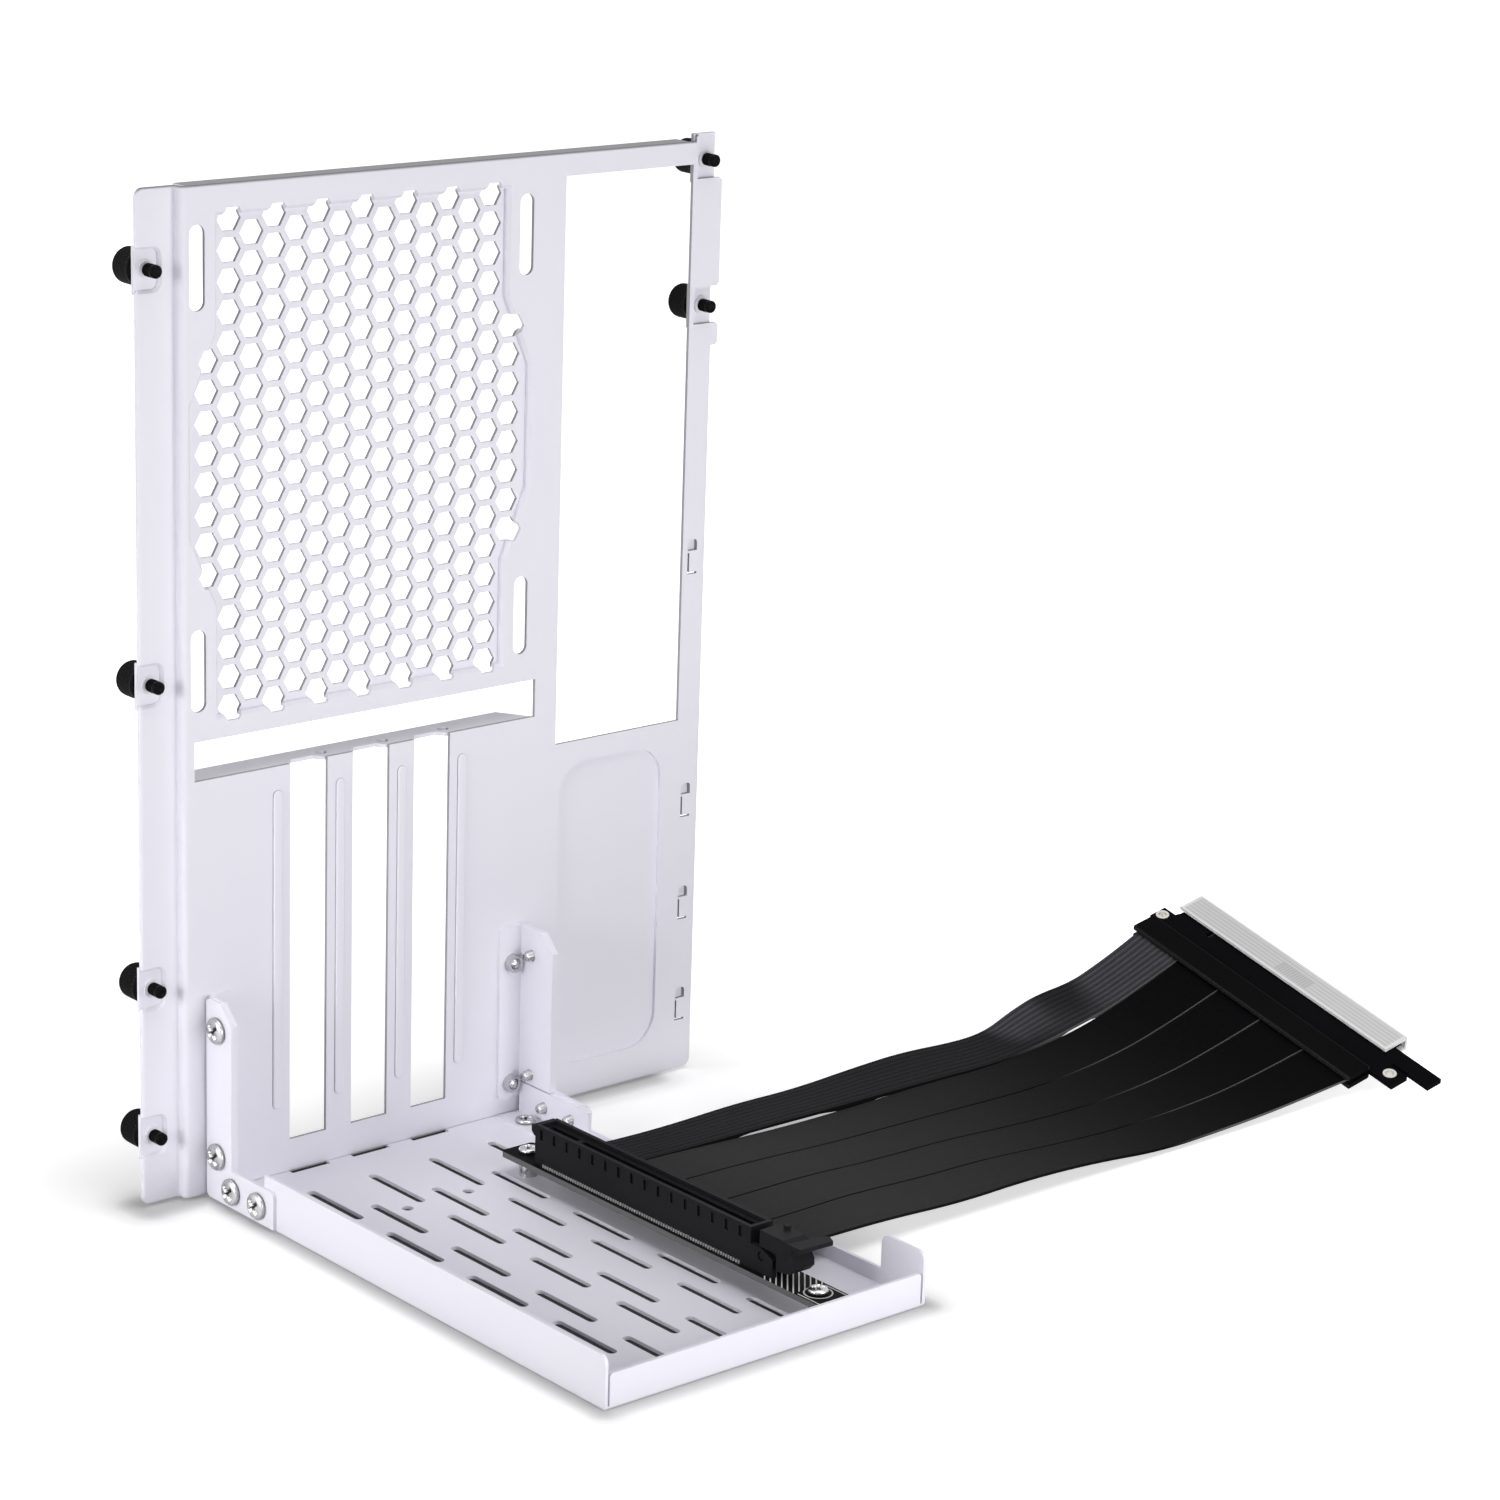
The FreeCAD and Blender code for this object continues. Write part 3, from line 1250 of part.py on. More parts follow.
def build_plug():
    """Edge board with ears and hook, two cover halves, eyelets and the edge cap."""
    body = new_plug_body("plug_board")
    thick = size("board_gauge")
    half_cover, half_edge = size("cover_length") / 2, size("edge_length") / 2
    start, shoulder, end = size("plug_board_start"), size("edge_shoulder"), size("plug_board_end")
    key, key_start = half_edge - size("key_offset"), size("key_start")
    half_key = size("key_width") / 2
    sketch = new_sketch(body, "XY", "plug_outline", -thick / 2)
    covered, hook_start = half_cover - COVERED, -half_cover - HOOK_SETBACK
    outline(sketch, [
        (start, covered), (EAR_REAR_LOW, covered), (EAR_REAR_LOW, EAR_REAR), (EAR_HIGH, EAR_REAR),
        (EAR_HIGH, half_edge + EAR_STEP), (shoulder, half_edge), (end, half_edge), (end, key + half_key),
        (key_start, key + half_key), (key_start, key - half_key), (end, key - half_key), (end, -half_edge),
        (HOOK_HIGH, -half_edge), (HOOK_HIGH, HOOK_END), (HOOK_LOW, HOOK_END),
        (HOOK_LOW, hook_start), (EAR_HIGH, hook_start), (EAR_HIGH, EAR_FRONT), (EAR_LOW, EAR_FRONT),
        (EAR_LOW, -covered), (start, -covered),
    ])
    pad(body, sketch, "plug_sheet", thick)
    holes = new_sketch(body, "XY", "ear_holes", thick)
    for x, y in EAR_HOLES:
        circle(holes, x, y, size("ear_hole_radius"))
    pocket(body, holes, "ear_hole_cut", thick * 3)

    shell = size("cover_half_gauge")
    for label, level, direction in (("plug_cover_top", 1, False), ("plug_cover_bottom", -1, True)):
        cover = new_plug_body(label)
        sketch = new_sketch(cover, "XY", label + "_outline", thick / 2 * level)
        rectangle(sketch, 0, size("cover_width"), -half_cover, half_cover)
        pad(cover, sketch, label + "_block", shell, reverse=direction)
        outside = (thick / 2 + shell) * level

        def long_edge(middle, ends):
            return runs_along(ends, "y") and near(middle.z, outside)

        round_edges(cover, label + "_edges", gauge * 0.6, long_edge)

    cap = new_plug_body("edge_cap")
    half_cap, wall = size("cap_half_gauge"), size("cap_wall")
    front, back = size("cap_start"), size("cap_start") + size("cap_depth")
    section = new_sketch(cap, "XZ", "cap_section")
    outline(section, [
        (front, -half_cap), (back, -half_cap), (back, half_cap), (front, half_cap),
        (front, half_cap - wall), (back - wall, half_cap - wall), (back - wall, wall - half_cap),
        (front, wall - half_cap),
    ])
    pad(cap, section, "cap_channel", size("cap_length"), middle=True)

    inner, outer = size("eyelet_inner_radius").number, size("eyelet_outer_radius").number
    flange, lip = size("eyelet_flange_radius").number, size("eyelet_flange").number
    half_board = thick.number / 2
    barrel = Part.makeCylinder(outer, 2 * half_board, FreeCAD.Vector(0, 0, -half_board))
    for level in (half_board, -half_board - lip):
        barrel = barrel.fuse(Part.makeCylinder(flange, lip, FreeCAD.Vector(0, 0, level)))
    reach = 2 * (half_board + lip)
    bore = Part.makeCylinder(inner, reach, FreeCAD.Vector(0, 0, -reach / 2))
    eyelet = barrel.cut(bore).removeSplitter()
    group_of("plug_eyelets", eyelet, [plug_placement(x, y, 0) for x, y in EAR_HOLES])


def smooth_route(points):
    """Join straight runs with tangent arcs as large as the runs allow; return dense points and radii."""
    dense, radii = [points[0]], []
    for before, corner, after in zip(points, points[1:], points[2:]):
        first, second = corner - before, after - corner
        turn = first.getAngle(second)
        if turn < STRAIGHT:
            dense.append(corner)
            continue
        cut = 0.45 * min(first.Length, second.Length)
        radii.append(cut / tan(turn / 2))
        start = corner - first * (cut / first.Length)
        stop = corner + second * (cut / second.Length)
        inward = (second * (1 / second.Length) - first * (1 / first.Length)).normalize()
        middle = corner + inward * (radii[-1] * (1 / cos(turn / 2) - 1))
        dense += [start, middle, stop]
    return dense + [points[-1]], radii


def value_at(x, stations, values):
    """Value at a place along X, on straight lines between the stations' values."""
    for x0, x1, value0, value1 in zip(stations, stations[1:], values, values[1:]):
        if x <= x1:
            return value0 + (value1 - value0) * (x - x0) / (x1 - x0)
    return values[-1]


def edge_at_plug(edge):
    """Height of an edge inside the plug's mouth; edge 0 is the rearmost and 5 the front one."""
    roll, pitch_up = radians(size("plug_roll").number), radians(size("plug_pitch").number)
    inside = (STATIONS[-1] - size("plug_x").number) * tan(pitch_up) * cos(roll)
    forward = (2.5 - edge) * size("strip_spacing").number * tan(roll)
    return size("plug_z").number + inside + forward


def build_ribbon(number, stations, rear, front):
    """One flat strip between two edge lines: a thin rectangle carried along its route, turned with them."""
    spacing = size("strip_spacing").number
    middle_y = size("strip_middle_y").number + (3 - number) * spacing
    slopes = [(high - low) / spacing for high, low in zip(rear, front)]
    middles = [(high + low) / 2 for high, low in zip(rear, front)]
    points, radii = smooth_route([FreeCAD.Vector(x, middle_y, z) for x, z in zip(stations, middles)])
    half_width_y, half_thick = size("strip_width").number / 2, size("strip_gauge").number / 2
    sections = []
    for index, point in enumerate(points):
        ahead = points[min(index + 1, len(points) - 1)] - points[max(index - 1, 0)]
        lean = atan(value_at(point.x, stations, slopes))
        across = FreeCAD.Vector(0, cos(lean), sin(lean)) * half_width_y
        up = ahead.cross(across).normalize() * half_thick
        corners = [point - across - up, point + across - up, point + across + up, point - across + up]
        sections.append(Part.makePolygon(corners + corners[:1]))
    strip = doc.addObject("Part::Feature", "ribbon_strip_%d" % number)
    strip.Label = "ribbon_strip_%d" % number
    strip.Shape = Part.makeLoft(sections, True, True)
    length = sum((b - a).Length for a, b in zip(points, points[1:]))
    print("%s length %.1f, least radius %.0f" % (strip.Label, length, min(radii)))
    parts.append(strip)


def build_ribbons():
    """Five strips side by side; the first one follows the waves of its rear edge."""
    edges = [list(heights) + [edge_at_plug(max(row, 1))] for row, heights in enumerate(EDGE_HEIGHTS)]
    stations = WAVE_STATIONS + STATIONS[-1:]
    waves = WAVE_HEIGHTS + (edge_at_plug(0),)
    build_ribbon(1, stations, waves, [value_at(x, STATIONS, edges[0]) for x in stations])
    for number in (2, 3, 4, 5):
        build_ribbon(number, STATIONS, edges[number - 1], edges[number])


build_tray()
for hand, hand_side in (("left", -1), ("right", 1)):
    bracket_width = size(hand + "_plate_width")
    build_angle(hand + "_angle", hand_side, bracket_width)
    build_side_plate(hand + "_side_plate", hand_side, bracket_width)
build_screws()
build_thumbscrews()
build_riser_board()
build_slot_housing()
build_slot_contacts()
build_slot_latch()
build_plug()
build_ribbons()
build_rear_panel()

doc.recompute()
for thing in doc.Objects:
    if "Invalid" in thing.State or "Error" in thing.State:
        raise RuntimeError("%s failed: %s" % (thing.Label, thing.State))
os.makedirs("parts", exist_ok=True)
for thing in parts:
    if thing.Shape.isNull() or not thing.Shape.isValid():
        raise RuntimeError("%s has no valid shape" % thing.Label)
for thing in parts:
    thing.Shape.exportStep("parts/%s.step" % thing.Label)
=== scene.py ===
import json
from math import cos, pi, radians, sin, tan

import bmesh
import bpy
import numpy as np
from mathutils import Matrix, Quaternion, Vector


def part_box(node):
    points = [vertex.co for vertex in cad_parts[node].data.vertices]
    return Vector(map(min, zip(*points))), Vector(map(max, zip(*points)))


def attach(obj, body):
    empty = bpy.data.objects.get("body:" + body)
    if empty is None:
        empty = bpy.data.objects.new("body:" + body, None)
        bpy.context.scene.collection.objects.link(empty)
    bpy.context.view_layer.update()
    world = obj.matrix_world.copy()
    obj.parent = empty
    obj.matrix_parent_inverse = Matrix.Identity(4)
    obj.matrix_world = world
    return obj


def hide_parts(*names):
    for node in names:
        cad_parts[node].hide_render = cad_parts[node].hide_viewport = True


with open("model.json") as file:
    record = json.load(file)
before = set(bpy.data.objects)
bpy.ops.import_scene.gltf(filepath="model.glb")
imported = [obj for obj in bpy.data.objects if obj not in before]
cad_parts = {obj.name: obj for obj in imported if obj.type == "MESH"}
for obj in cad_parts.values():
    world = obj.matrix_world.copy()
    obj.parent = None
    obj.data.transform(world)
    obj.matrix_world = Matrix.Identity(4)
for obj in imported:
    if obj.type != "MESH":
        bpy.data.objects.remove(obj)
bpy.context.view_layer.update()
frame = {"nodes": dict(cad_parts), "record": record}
nodes = frame["nodes"]
record = frame["record"]
scene = bpy.context.scene

MM = 0.001

# Camera at the photograph's viewing angle
CAMERA_PLACE = Vector((-0.6447, -0.80255, 0.4354))
CAMERA_AZIMUTH = radians(-41.33)
CAMERA_ELEVATION = radians(16.14)
CAMERA_ROLL = radians(1.918)
CAMERA_LENS = 101.69
CAMERA_SENSOR = 36.0

# Tray and brackets
TRAY_HALF_WIDTH = 52.5
TRAY_HALF_DEPTH = 84.35
GAUGE = 1.0
# Rear panel: fan recess (centre, half width and half height of its two boxes, back of its rim), the pressed
# rectangle (centre and half sizes), the left joggle and the top fold
FAN_CENTRE = (-2.6, 198.6)
FAN_RECESS_HALVES = ((47.5, 67.2), (56.2, 37.5))
RECESS_BACK = 1.95
PRESS_CENTRE = (83.0, 55.0)
PRESS_HALF = (20.5, 49.5)
JOGGLE_X = -57.5
TOP_FOLD_Z = 266.5

# Plug at the lead's far end: place of its mouth, roll about X, then pitch about its own Y
PLUG_PLACE = Vector((254.6, -4.15, 15.8))
PLUG_ROLL = radians(14.0)
PLUG_PITCH = radians(14.0)
PLUG_TURN = Matrix.Rotation(PLUG_ROLL, 3, "X") @ Matrix.Rotation(-PLUG_PITCH, 3, "Y")

# Ribbon lead: stations along X, then the heights before the plug of the first strip's front edge,
# the second one's rear edge, the seams between the others and the last front edge
STATIONS = (29.9, 52.0, 74.0, 100.0, 126.0, 152.0, 178.0, 204.0, 229.0, 256.0)
EDGE_HEIGHTS = (
    (6.8, 6.5, 6.2, 6.3, 5.9, 6.0, 5.2, 8.5, 13.6),
    (6.8, 6.5, 5.6, 4.7, 4.9, 5.6, 5.1, 7.4, 12.8),
    (6.8, 6.6, 6.1, 4.8, 4.5, 3.9, 3.4, 5.4, 10.0),
    (6.8, 6.6, 6.7, 5.3, 5.0, 3.3, 2.4, 3.5, 7.2),
    (6.8, 6.4, 7.0, 5.6, 5.2, 3.2, 2.0, 2.5, 4.6),
    (6.8, 6.8, 6.4, 4.8, 5.3, 4.1, 1.4, 1.9, 3.0),
)
# The first strip's rear edge hangs in waves and has closer stations of its own
WAVE_STATIONS = (
    29.9, 54.0, 72.0, 94.0, 116.0, 139.0, 158.0, 180.0, 192.0, 202.0, 212.0, 227.0, 237.0, 247.0,
)
WAVE_HEIGHTS = (6.8, 6.1, 6.1, 7.0, 6.5, 7.9, 8.6, 7.2, 7.9, 12.0, 15.0, 16.2, 19.4, 23.1)
STRIP_MIDDLE_Y = -4.15
STRIP_SPACING = 17.4
STRIP_WIDTH = 17.2
STRIP_GAUGE = 1.0
# Lip under the first strip's front edge: stations along X, and depths; 0 leaves a gap to the next strip
LIP_STATIONS = (29.9, 60, 78, 85, 112, 120, 128, 133, 144, 150, 178, 200, 206, 210, 219, 224, 236, 256)
LIP_DEPTHS = (0.0, 0.2, 0.6, 0.0, 0.1, 0.9, 0.9, 0.3, 0.2, 0.5, 0.5, 0.8, 0.7, 0.1, 0.1, 0.9, 0.9, 0.6)
LIP_SHARE = 0.4
# Ribs across a strip's section and their share of its thickness: the first strip, then the others
FIRST_STRIP_RIBS = (9, 0.34)
OTHER_STRIP_RIBS = (8, 0.06)

# Thumbscrews: distances along the axis from the pad's front face, and radii
SCREW_TIP = -4.9
SCREW_COLLAR = -1.0
SCREW_SEAT = 1.4
SCREW_END = 9.6
SCREW_NECK_RADIUS = 1.35
SCREW_THREAD_RADIUS = 1.75
SCREW_HEAD_RADIUS = 4.8
THREAD_PITCH = 0.7
THREAD_DEPTH = 0.3
KNURL_TEETH = 48
KNURL_DEPTH = 0.3

# Pan-head screws: seat places, and the way their heads point
PLATE_SCREWS = ((78.55, 49.0), (78.55, 13.4), (71.75, 5.6), (59.75, 5.6))
PLATE_FACE = TRAY_HALF_WIDTH + GAUGE
ANGLE_SCREW_X = 48.35
ANGLE_SCREW_HEIGHTS = (46.2, 10.4)
CORNER_SCREW = (47.3, 74.55, 1.5)
BOARD_SCREWS = ((24.4, 44.0, 7.6), (24.4, -74.7, 7.6))
# Head radius, head height and length of each kind
PAN_SIZES = (3.6, 1.9, 4.2)
CORNER_SCREW_SIZES = (2.88, 1.52, 1.4)
BOARD_SCREW_SIZES = (2.7, 1.7, 4.6)
# Shank radius, its pointed end and thread depth; the head's upright share, and its cross: depth as a share
# of the head's height, half width of a bar and reach as shares of the head's radius
PAN_SHANK = 1.5
PAN_POINT = 0.4
PAN_THREAD_DEPTH = 0.26
PAN_RISE = 0.55
CROSS_DEPTH = 0.55
CROSS_BAR = 0.15
CROSS_REACH = 0.62

# Floor: height, half width and corners, colours (the second is a painted shade under the tray), painted
# shadow at the feet, and how its glow grows with the distance from the origin: from where, to where, in
# metres, and its lowest and highest level
FLOOR_LEVEL = -0.05
FLOOR_HALF = 6000.0
FLOOR_CORNERS = np.array([(-1, -1, 0), (1, -1, 0), (1, 1, 0), (-1, 1, 0)])
FLOOR_COLOUR = (0.9, 0.9, 0.9)
UNDER_PAINTED_SHADE = (0.06, 0.06, 0.06)
CONTACT_PAINTED_SHADOW = ((0.2, 0.2, 0.2), 0.6)
FLOOR_GLOW = (0.18, 0.36, 0.55, 1.0)
# Painted shades on the floor as low x, high x, low y and high y, the widths they fade over, and their shares
UNDER_TRAY = (4 - TRAY_HALF_WIDTH, TRAY_HALF_WIDTH - 4, 5 - TRAY_HALF_DEPTH, TRAY_HALF_DEPTH + 1.2)
UNDER_FADE = 2
FOOT_FADE = 11
PANEL_FOOT = (-71, 100, 84, 90)
PANEL_FOOT_FADE = 14
BESIDE_TRAY_FADE = 35
BESIDE_PANEL = (-71, 100, 60, 95)
BESIDE_PANEL_FADE = 60
CONTACT_DIMMING = 0.8
BESIDE_DIMMING = 0.45

# Studio light: level of the plain surround, and soft boxes as name, place, aim, width, spread and power
MIDDLE = (0.05, 0.0, 0.12)
WORLD_LEVEL = 0.12
SOFT_BOXES = (
    ("front", (0.12, -0.57, 0.09), MIDDLE, 0.4, 180, 3.05),
    ("left", (-1.7, 0.3, 0.45), MIDDLE, 1.2, 180, 15.5),
    ("left front", (-0.9, -0.1, 0.3), (0.06, 0.07, 0.0), 0.3, 30, 0.11),
    ("top", (0.1, -0.3, 1.8), MIDDLE, 1.3, 180, 13.2),
    ("back", (0.3, 1.6, 0.15), MIDDLE, 1.0, 180, 5.0),
)

# Finishes: dark tone, light tone, range of roughness, grains per metre, their depth in metres, metallic
# share and specular level. The panel has the coat of the other white sheets.
WHITE = ((0.775, 0.762, 0.835), (0.805, 0.792, 0.865), (0.36, 0.5), 1400, 0.00004, 0.0, 0.5)
FINISHES = {
    "white_coat": WHITE,
    "panel_coat_and_painted_shade": WHITE,
    "black_knob": ((0.003, 0.003, 0.0035), (0.006, 0.006, 0.007), (0.2, 0.34), 1500, 0.00004, 0.0, 0.03),
    "zinc": ((0.45, 0.45, 0.46), (0.66, 0.66, 0.67), (0.18, 0.34), 1200, 0.00003, 1.0, 0.5),
    "nickel": ((0.55, 0.53, 0.5), (0.72, 0.7, 0.66), (0.2, 0.36), 900, 0.00002, 1.0, 0.5),
    "circuit_board": ((0.003, 0.003, 0.004), (0.007, 0.007, 0.008), (0.4, 0.55), 700, 0.00003, 0.0, 0.003),
    "riser_board_mask": ((0.004, 0.004, 0.005), (0.01, 0.01, 0.011), (0.3, 0.45), 700, 0.00003, 0.0, 0.01),
    "black_plastic": ((0.01, 0.01, 0.0115), (0.018, 0.018, 0.02), (0.34, 0.48), 1800, 0.00005, 0.0, 0.03),
    "plug_cover": ((0.004, 0.004, 0.0045), (0.007, 0.007, 0.0075), (0.42, 0.58), 1800, 0.00005, 0.0, 0.003),
    "contact_metal": ((0.7, 0.69, 0.66), (0.86, 0.85, 0.83), (0.25, 0.4), 900, 0.00002, 0.6, 0.5),
    "ribbon_jacket": ((0.04, 0.04, 0.041), (0.04, 0.04, 0.041), (0.4, 0.55), 900, 0.00003, 0.0, 0.004),
    "ribbed_jacket": ((0.03, 0.03, 0.032), (0.03, 0.03, 0.032), (0.4, 0.55), 900, 0.00003, 0.0, 0.004),
    "clear_plastic": ((0.62, 0.61, 0.61), (0.68, 0.67, 0.67), (0.25, 0.36), 500, 0.00001, 0.0, 0.5),
}
GRAIN_STRENGTH = 0.5

# Marks on the finishes, in metres: limits are low, high and the width they fade over, lines are their step
# and width. A tint is a colour and its share. A line's edge is given in shares of its width.
LINE_EDGE = (0.6, 0.4)
# Edge cap, in the plug's frame: a patch of cross lines, lengthwise lines outside it, and its rims and ends
CAP_PATCH_ACROSS = (-0.0085, 0.0045, 0.0003)
CAP_PATCH_ALONG = (0.0192, 0.0234, 0.0002)
CAP_RIB_LINES = (0.0014, 0.0005)
CAP_RIB_TINT = ((0.92, 0.91, 0.91), 0.45)
CAP_FINGER_LINES = (0.001, 0.00045)
CAP_FINGER_TINT = ((0.42, 0.41, 0.41), 0.5)
CAP_MIDDLE = 0.022
CAP_RIM_FROM = 0.0038
CAP_END_FROM = 0.0426
CAP_RIM_TINT = ((0.96, 0.96, 0.96), 0.7)
CAP_TRANSMISSION = 0.15
CAP_IOR = 1.3
# Panel: the largest Y of a punched wall's direction, and Z of one behind the front layer, for the painted
# shade on those walls; the Z of the top fold's direction where its painted shade begins and where it is full
WALL_FACING = 0.4
SLANT_FACING = 0.9
WALL_PAINTED_SHADE = ((0.2, 0.2, 0.22), 0.8)
FOLD_FACING = (0.25, 0.95)
FOLD_PAINTED_SHADE = ((0.09, 0.09, 0.1), 0.85)
# Painted shade in screw crosses and at their heads' feet, painted highlight lines on the plug cover, and the
# riser board's print and cut edges
CROSS_PAINTED_SHADE = ((0.03, 0.03, 0.03), 1.0)
PAINTED_HIGHLIGHT_LINES = ((0.0082, 0.0088, 0.0002), (-0.0002, 0.0002, 0.0002))
PAINTED_HIGHLIGHT_TINT = ((0.03, 0.03, 0.03), 0.7)
HATCH_SLANT = (0.75, 0.66)
HATCH_LINES = (0.00146, 0.00036)
HATCH_ALONG = (-0.0712, -0.0585, 0.0001)
HATCH_TINT = ((0.72, 0.72, 0.72), 1.0)
RING_RADII = (0.0035, 0.0038, 0.0001)
BORDER_ACROSS = (0.0045, 0.0048, 0.0001)
BORDER_ALONG = (-0.0815, -0.0722, 0.0001)
PRINT_TINT = ((0.6, 0.6, 0.6), 1.0)
BOARD_FACING = 0.5
CUT_EDGE_TINT = ((0.16, 0.16, 0.16), 0.8)
# Ribbon: limits as shares of a strip's length, and of its width from the middle, for the painted shade by
# the plug and along the seams and the painted highlight on the rims by the plug; X of the surface's
# direction where the painted sheen begins and where it is full
PLUG_END = (0.95, 2.0, 0.85)
SHEEN_FACING = (-0.13, -0.27)
SHEEN_COLOUR = (0.072, 0.072, 0.08)
VALLEY_PAINTED_SHADE = (0.008, 0.008, 0.009)
VALLEY_SHARE = 0.5
SEAM_ACROSS = (0.489, 0.6, 0.006)
SEAM_PAINTED_SHADE = ((0.003, 0.003, 0.003), 0.85)
PALE_ACROSS = (0.493, 0.6, 0.004)
PALE_ALONG = (0.8, 2.0, 0.15)
PALE_RIM_HIGHLIGHT = ((0.13, 0.13, 0.13), 0.8)
RIB_STRENGTH = 0.6
# Jackets: painted shade colour by the plug, ribs across, depth of their bump in metres, and share of the
# painted sheen, which also scales the painted shade in the rib valleys
JACKETS = {
    "ribbon_jacket": ((0.004, 0.004, 0.0045), 28, 0.00004, 0.0),
    "ribbed_jacket": ((0.024, 0.024, 0.026), 9, 0.0003, 1.0),
}


def grid_faces(rows, columns):
    """Quads of a grid of points, row by row; the last column joins the first."""
    row, column = np.meshgrid(np.arange(rows - 1), np.arange(columns), indexing="ij")
    after = (column + 1) % columns
    corners = [row * columns + column, row * columns + after]
    corners += [(row + 1) * columns + after, (row + 1) * columns + column]
    return np.stack(corners, axis=-1).reshape(-1, 4)


def mesh_piece(name, points, faces, smooth=True):
    """Make an object from point and face arrays in millimetres, at the origin of the row frame."""
    mesh = bpy.data.meshes.new(name)
    mesh.from_pydata((points * MM).tolist(), [], [list(face) for face in faces])
    mesh.polygons.foreach_set("use_smooth", np.full(len(mesh.polygons), smooth))
    mesh.update()
    piece = bpy.data.objects.new(name, mesh)
    scene.collection.objects.link(piece)
    return piece


def close_poles(piece):
    """Merge the coincident points where a turned profile meets its axis."""
    net = bmesh.new()
    net.from_mesh(piece.data)
    bmesh.ops.remove_doubles(net, verts=net.verts, dist=1e-7)
    net.to_mesh(piece.data)
    net.free()


def nurbs_line(points):
    """Points of a smooth spline that has the given points as its control points."""
    curve = bpy.data.curves.new("route", "CURVE")
    curve.dimensions = "3D"
    curve.resolution_u = 12
    spline = curve.splines.new("NURBS")
    spline.points.add(len(points) - 1)
    for control, point in zip(spline.points, points):
        control.co = (*point, 1.0)
    spline.order_u = 3
    spline.use_endpoint_u = True
    carrier = bpy.data.objects.new("route", curve)
    scene.collection.objects.link(carrier)
    bpy.context.view_layer.update()
    line = bpy.data.meshes.new_from_object(carrier)
    found = np.array([vertex.co for vertex in line.vertices])
    bpy.data.objects.remove(carrier)
    return found


def edge_at_plug(edge):
    """Height of a ribbon edge inside the plug's mouth; edge 0 is the rearmost and 5 the front one."""
    inside = (STATIONS[-1] - PLUG_PLACE.x) * tan(PLUG_PITCH) * cos(PLUG_ROLL)
    return PLUG_PLACE.z + inside + (2.5 - edge) * STRIP_SPACING * tan(PLUG_ROLL)


def strip_edges():
    """Stations, rear heights and front heights of each strip, rear strip first."""
    edges = [heights + (edge_at_plug(max(row, 1)),) for row, heights in enumerate(EDGE_HEIGHTS)]
    stations = WAVE_STATIONS + STATIONS[-1:]
    strips = [(stations, WAVE_HEIGHTS + (edge_at_plug(0),), np.interp(stations, STATIONS, edges[0]))]
    return strips + [(STATIONS, rear, front) for rear, front in zip(edges[1:], edges[2:])]


def strip_profile(ribs, rib_depth):
    """Section of a flat strip: a rounded slab whose faces carry shallow cosine ribs, as (across, up)."""
    angle = np.linspace(0, 2 * pi, 160, endpoint=False)
    power = 0.22
    across = np.sign(np.cos(angle)) * np.abs(np.cos(angle)) ** power
    up = np.sign(np.sin(angle)) * np.abs(np.sin(angle)) ** power
    ripple = 1 - rib_depth * (0.5 + 0.5 * np.cos(across * ribs * pi))
    return across * STRIP_WIDTH / 2, up * ripple * STRIP_GAUGE / 2


def ribbon_strip(number, stations, rear, front):
    """Carry the strip's section along the middle of its two edges; each section leans as the edges do.

    The first strip's lower front corner hangs lower by the lip's depth at that station."""
    middle_y = STRIP_MIDDLE_Y + (3 - number) * STRIP_SPACING
    rear, front = np.array(rear), np.array(front)
    route = [Vector((x, middle_y, z)) for x, z in zip(stations, (rear + front) / 2)]
    line = nurbs_line(route)
    slopes = [(x, 0.0, slope) for x, slope in zip(stations, rear - front)]
    lean = np.arctan(nurbs_line(slopes)[:, 2] / STRIP_SPACING)
    ahead = np.gradient(line, axis=0)
    ahead /= np.linalg.norm(ahead, axis=1, keepdims=True)
    sideways = np.stack([np.zeros_like(lean), np.ones_like(lean), np.tan(lean)], axis=1)
    upward = np.cross(ahead, sideways)
    upward /= np.linalg.norm(upward, axis=1, keepdims=True)
    across, up = strip_profile(*(FIRST_STRIP_RIBS if number == 1 else OTHER_STRIP_RIBS))
    rings = line[:, None, :] + across[None, :, None] * sideways[:, None, :]
    rings = rings + up[None, :, None] * upward[:, None, :]
    if number == 1:
        depths = np.interp(line[:, 0], LIP_STATIONS, LIP_DEPTHS)
        front_corner = (across < -LIP_SHARE * STRIP_WIDTH) & (up < 0)
        rings[:, :, 2] -= depths[:, None] * front_corner
    rows, columns = rings.shape[:2]
    faces = grid_faces(rows, columns).tolist()
    faces += [list(range(columns))[::-1], [(rows - 1) * columns + c for c in range(columns)]]
    strip = mesh_piece("ribbon_%d" % number, rings.reshape(-1, 3), faces)
    layer = strip.data.uv_layers.new(name="UVMap")
    loops = np.zeros(len(strip.data.loops), int)
    strip.data.loops.foreach_get("vertex_index", loops)
    along = np.concatenate([[0], np.cumsum(np.linalg.norm(np.diff(line, axis=0), axis=1))])
    uv = np.stack([along[loops // columns] / along[-1], across[loops % columns] / STRIP_WIDTH + 0.5], axis=1)
    layer.data.foreach_set("uv", uv.astype(np.float32).ravel())
    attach(strip, "mount_frame")
    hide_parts("ribbon_strip_%d" % number)
    return strip


def arc(centre_along, centre_radius, bend, start, stop, steps):
    """Points (place along the axis, radius) of a quarter bend between two angles."""
    turn = np.linspace(start, stop, steps)
    return [(centre_along + bend * sin(a), centre_radius + bend * cos(a)) for a in turn]


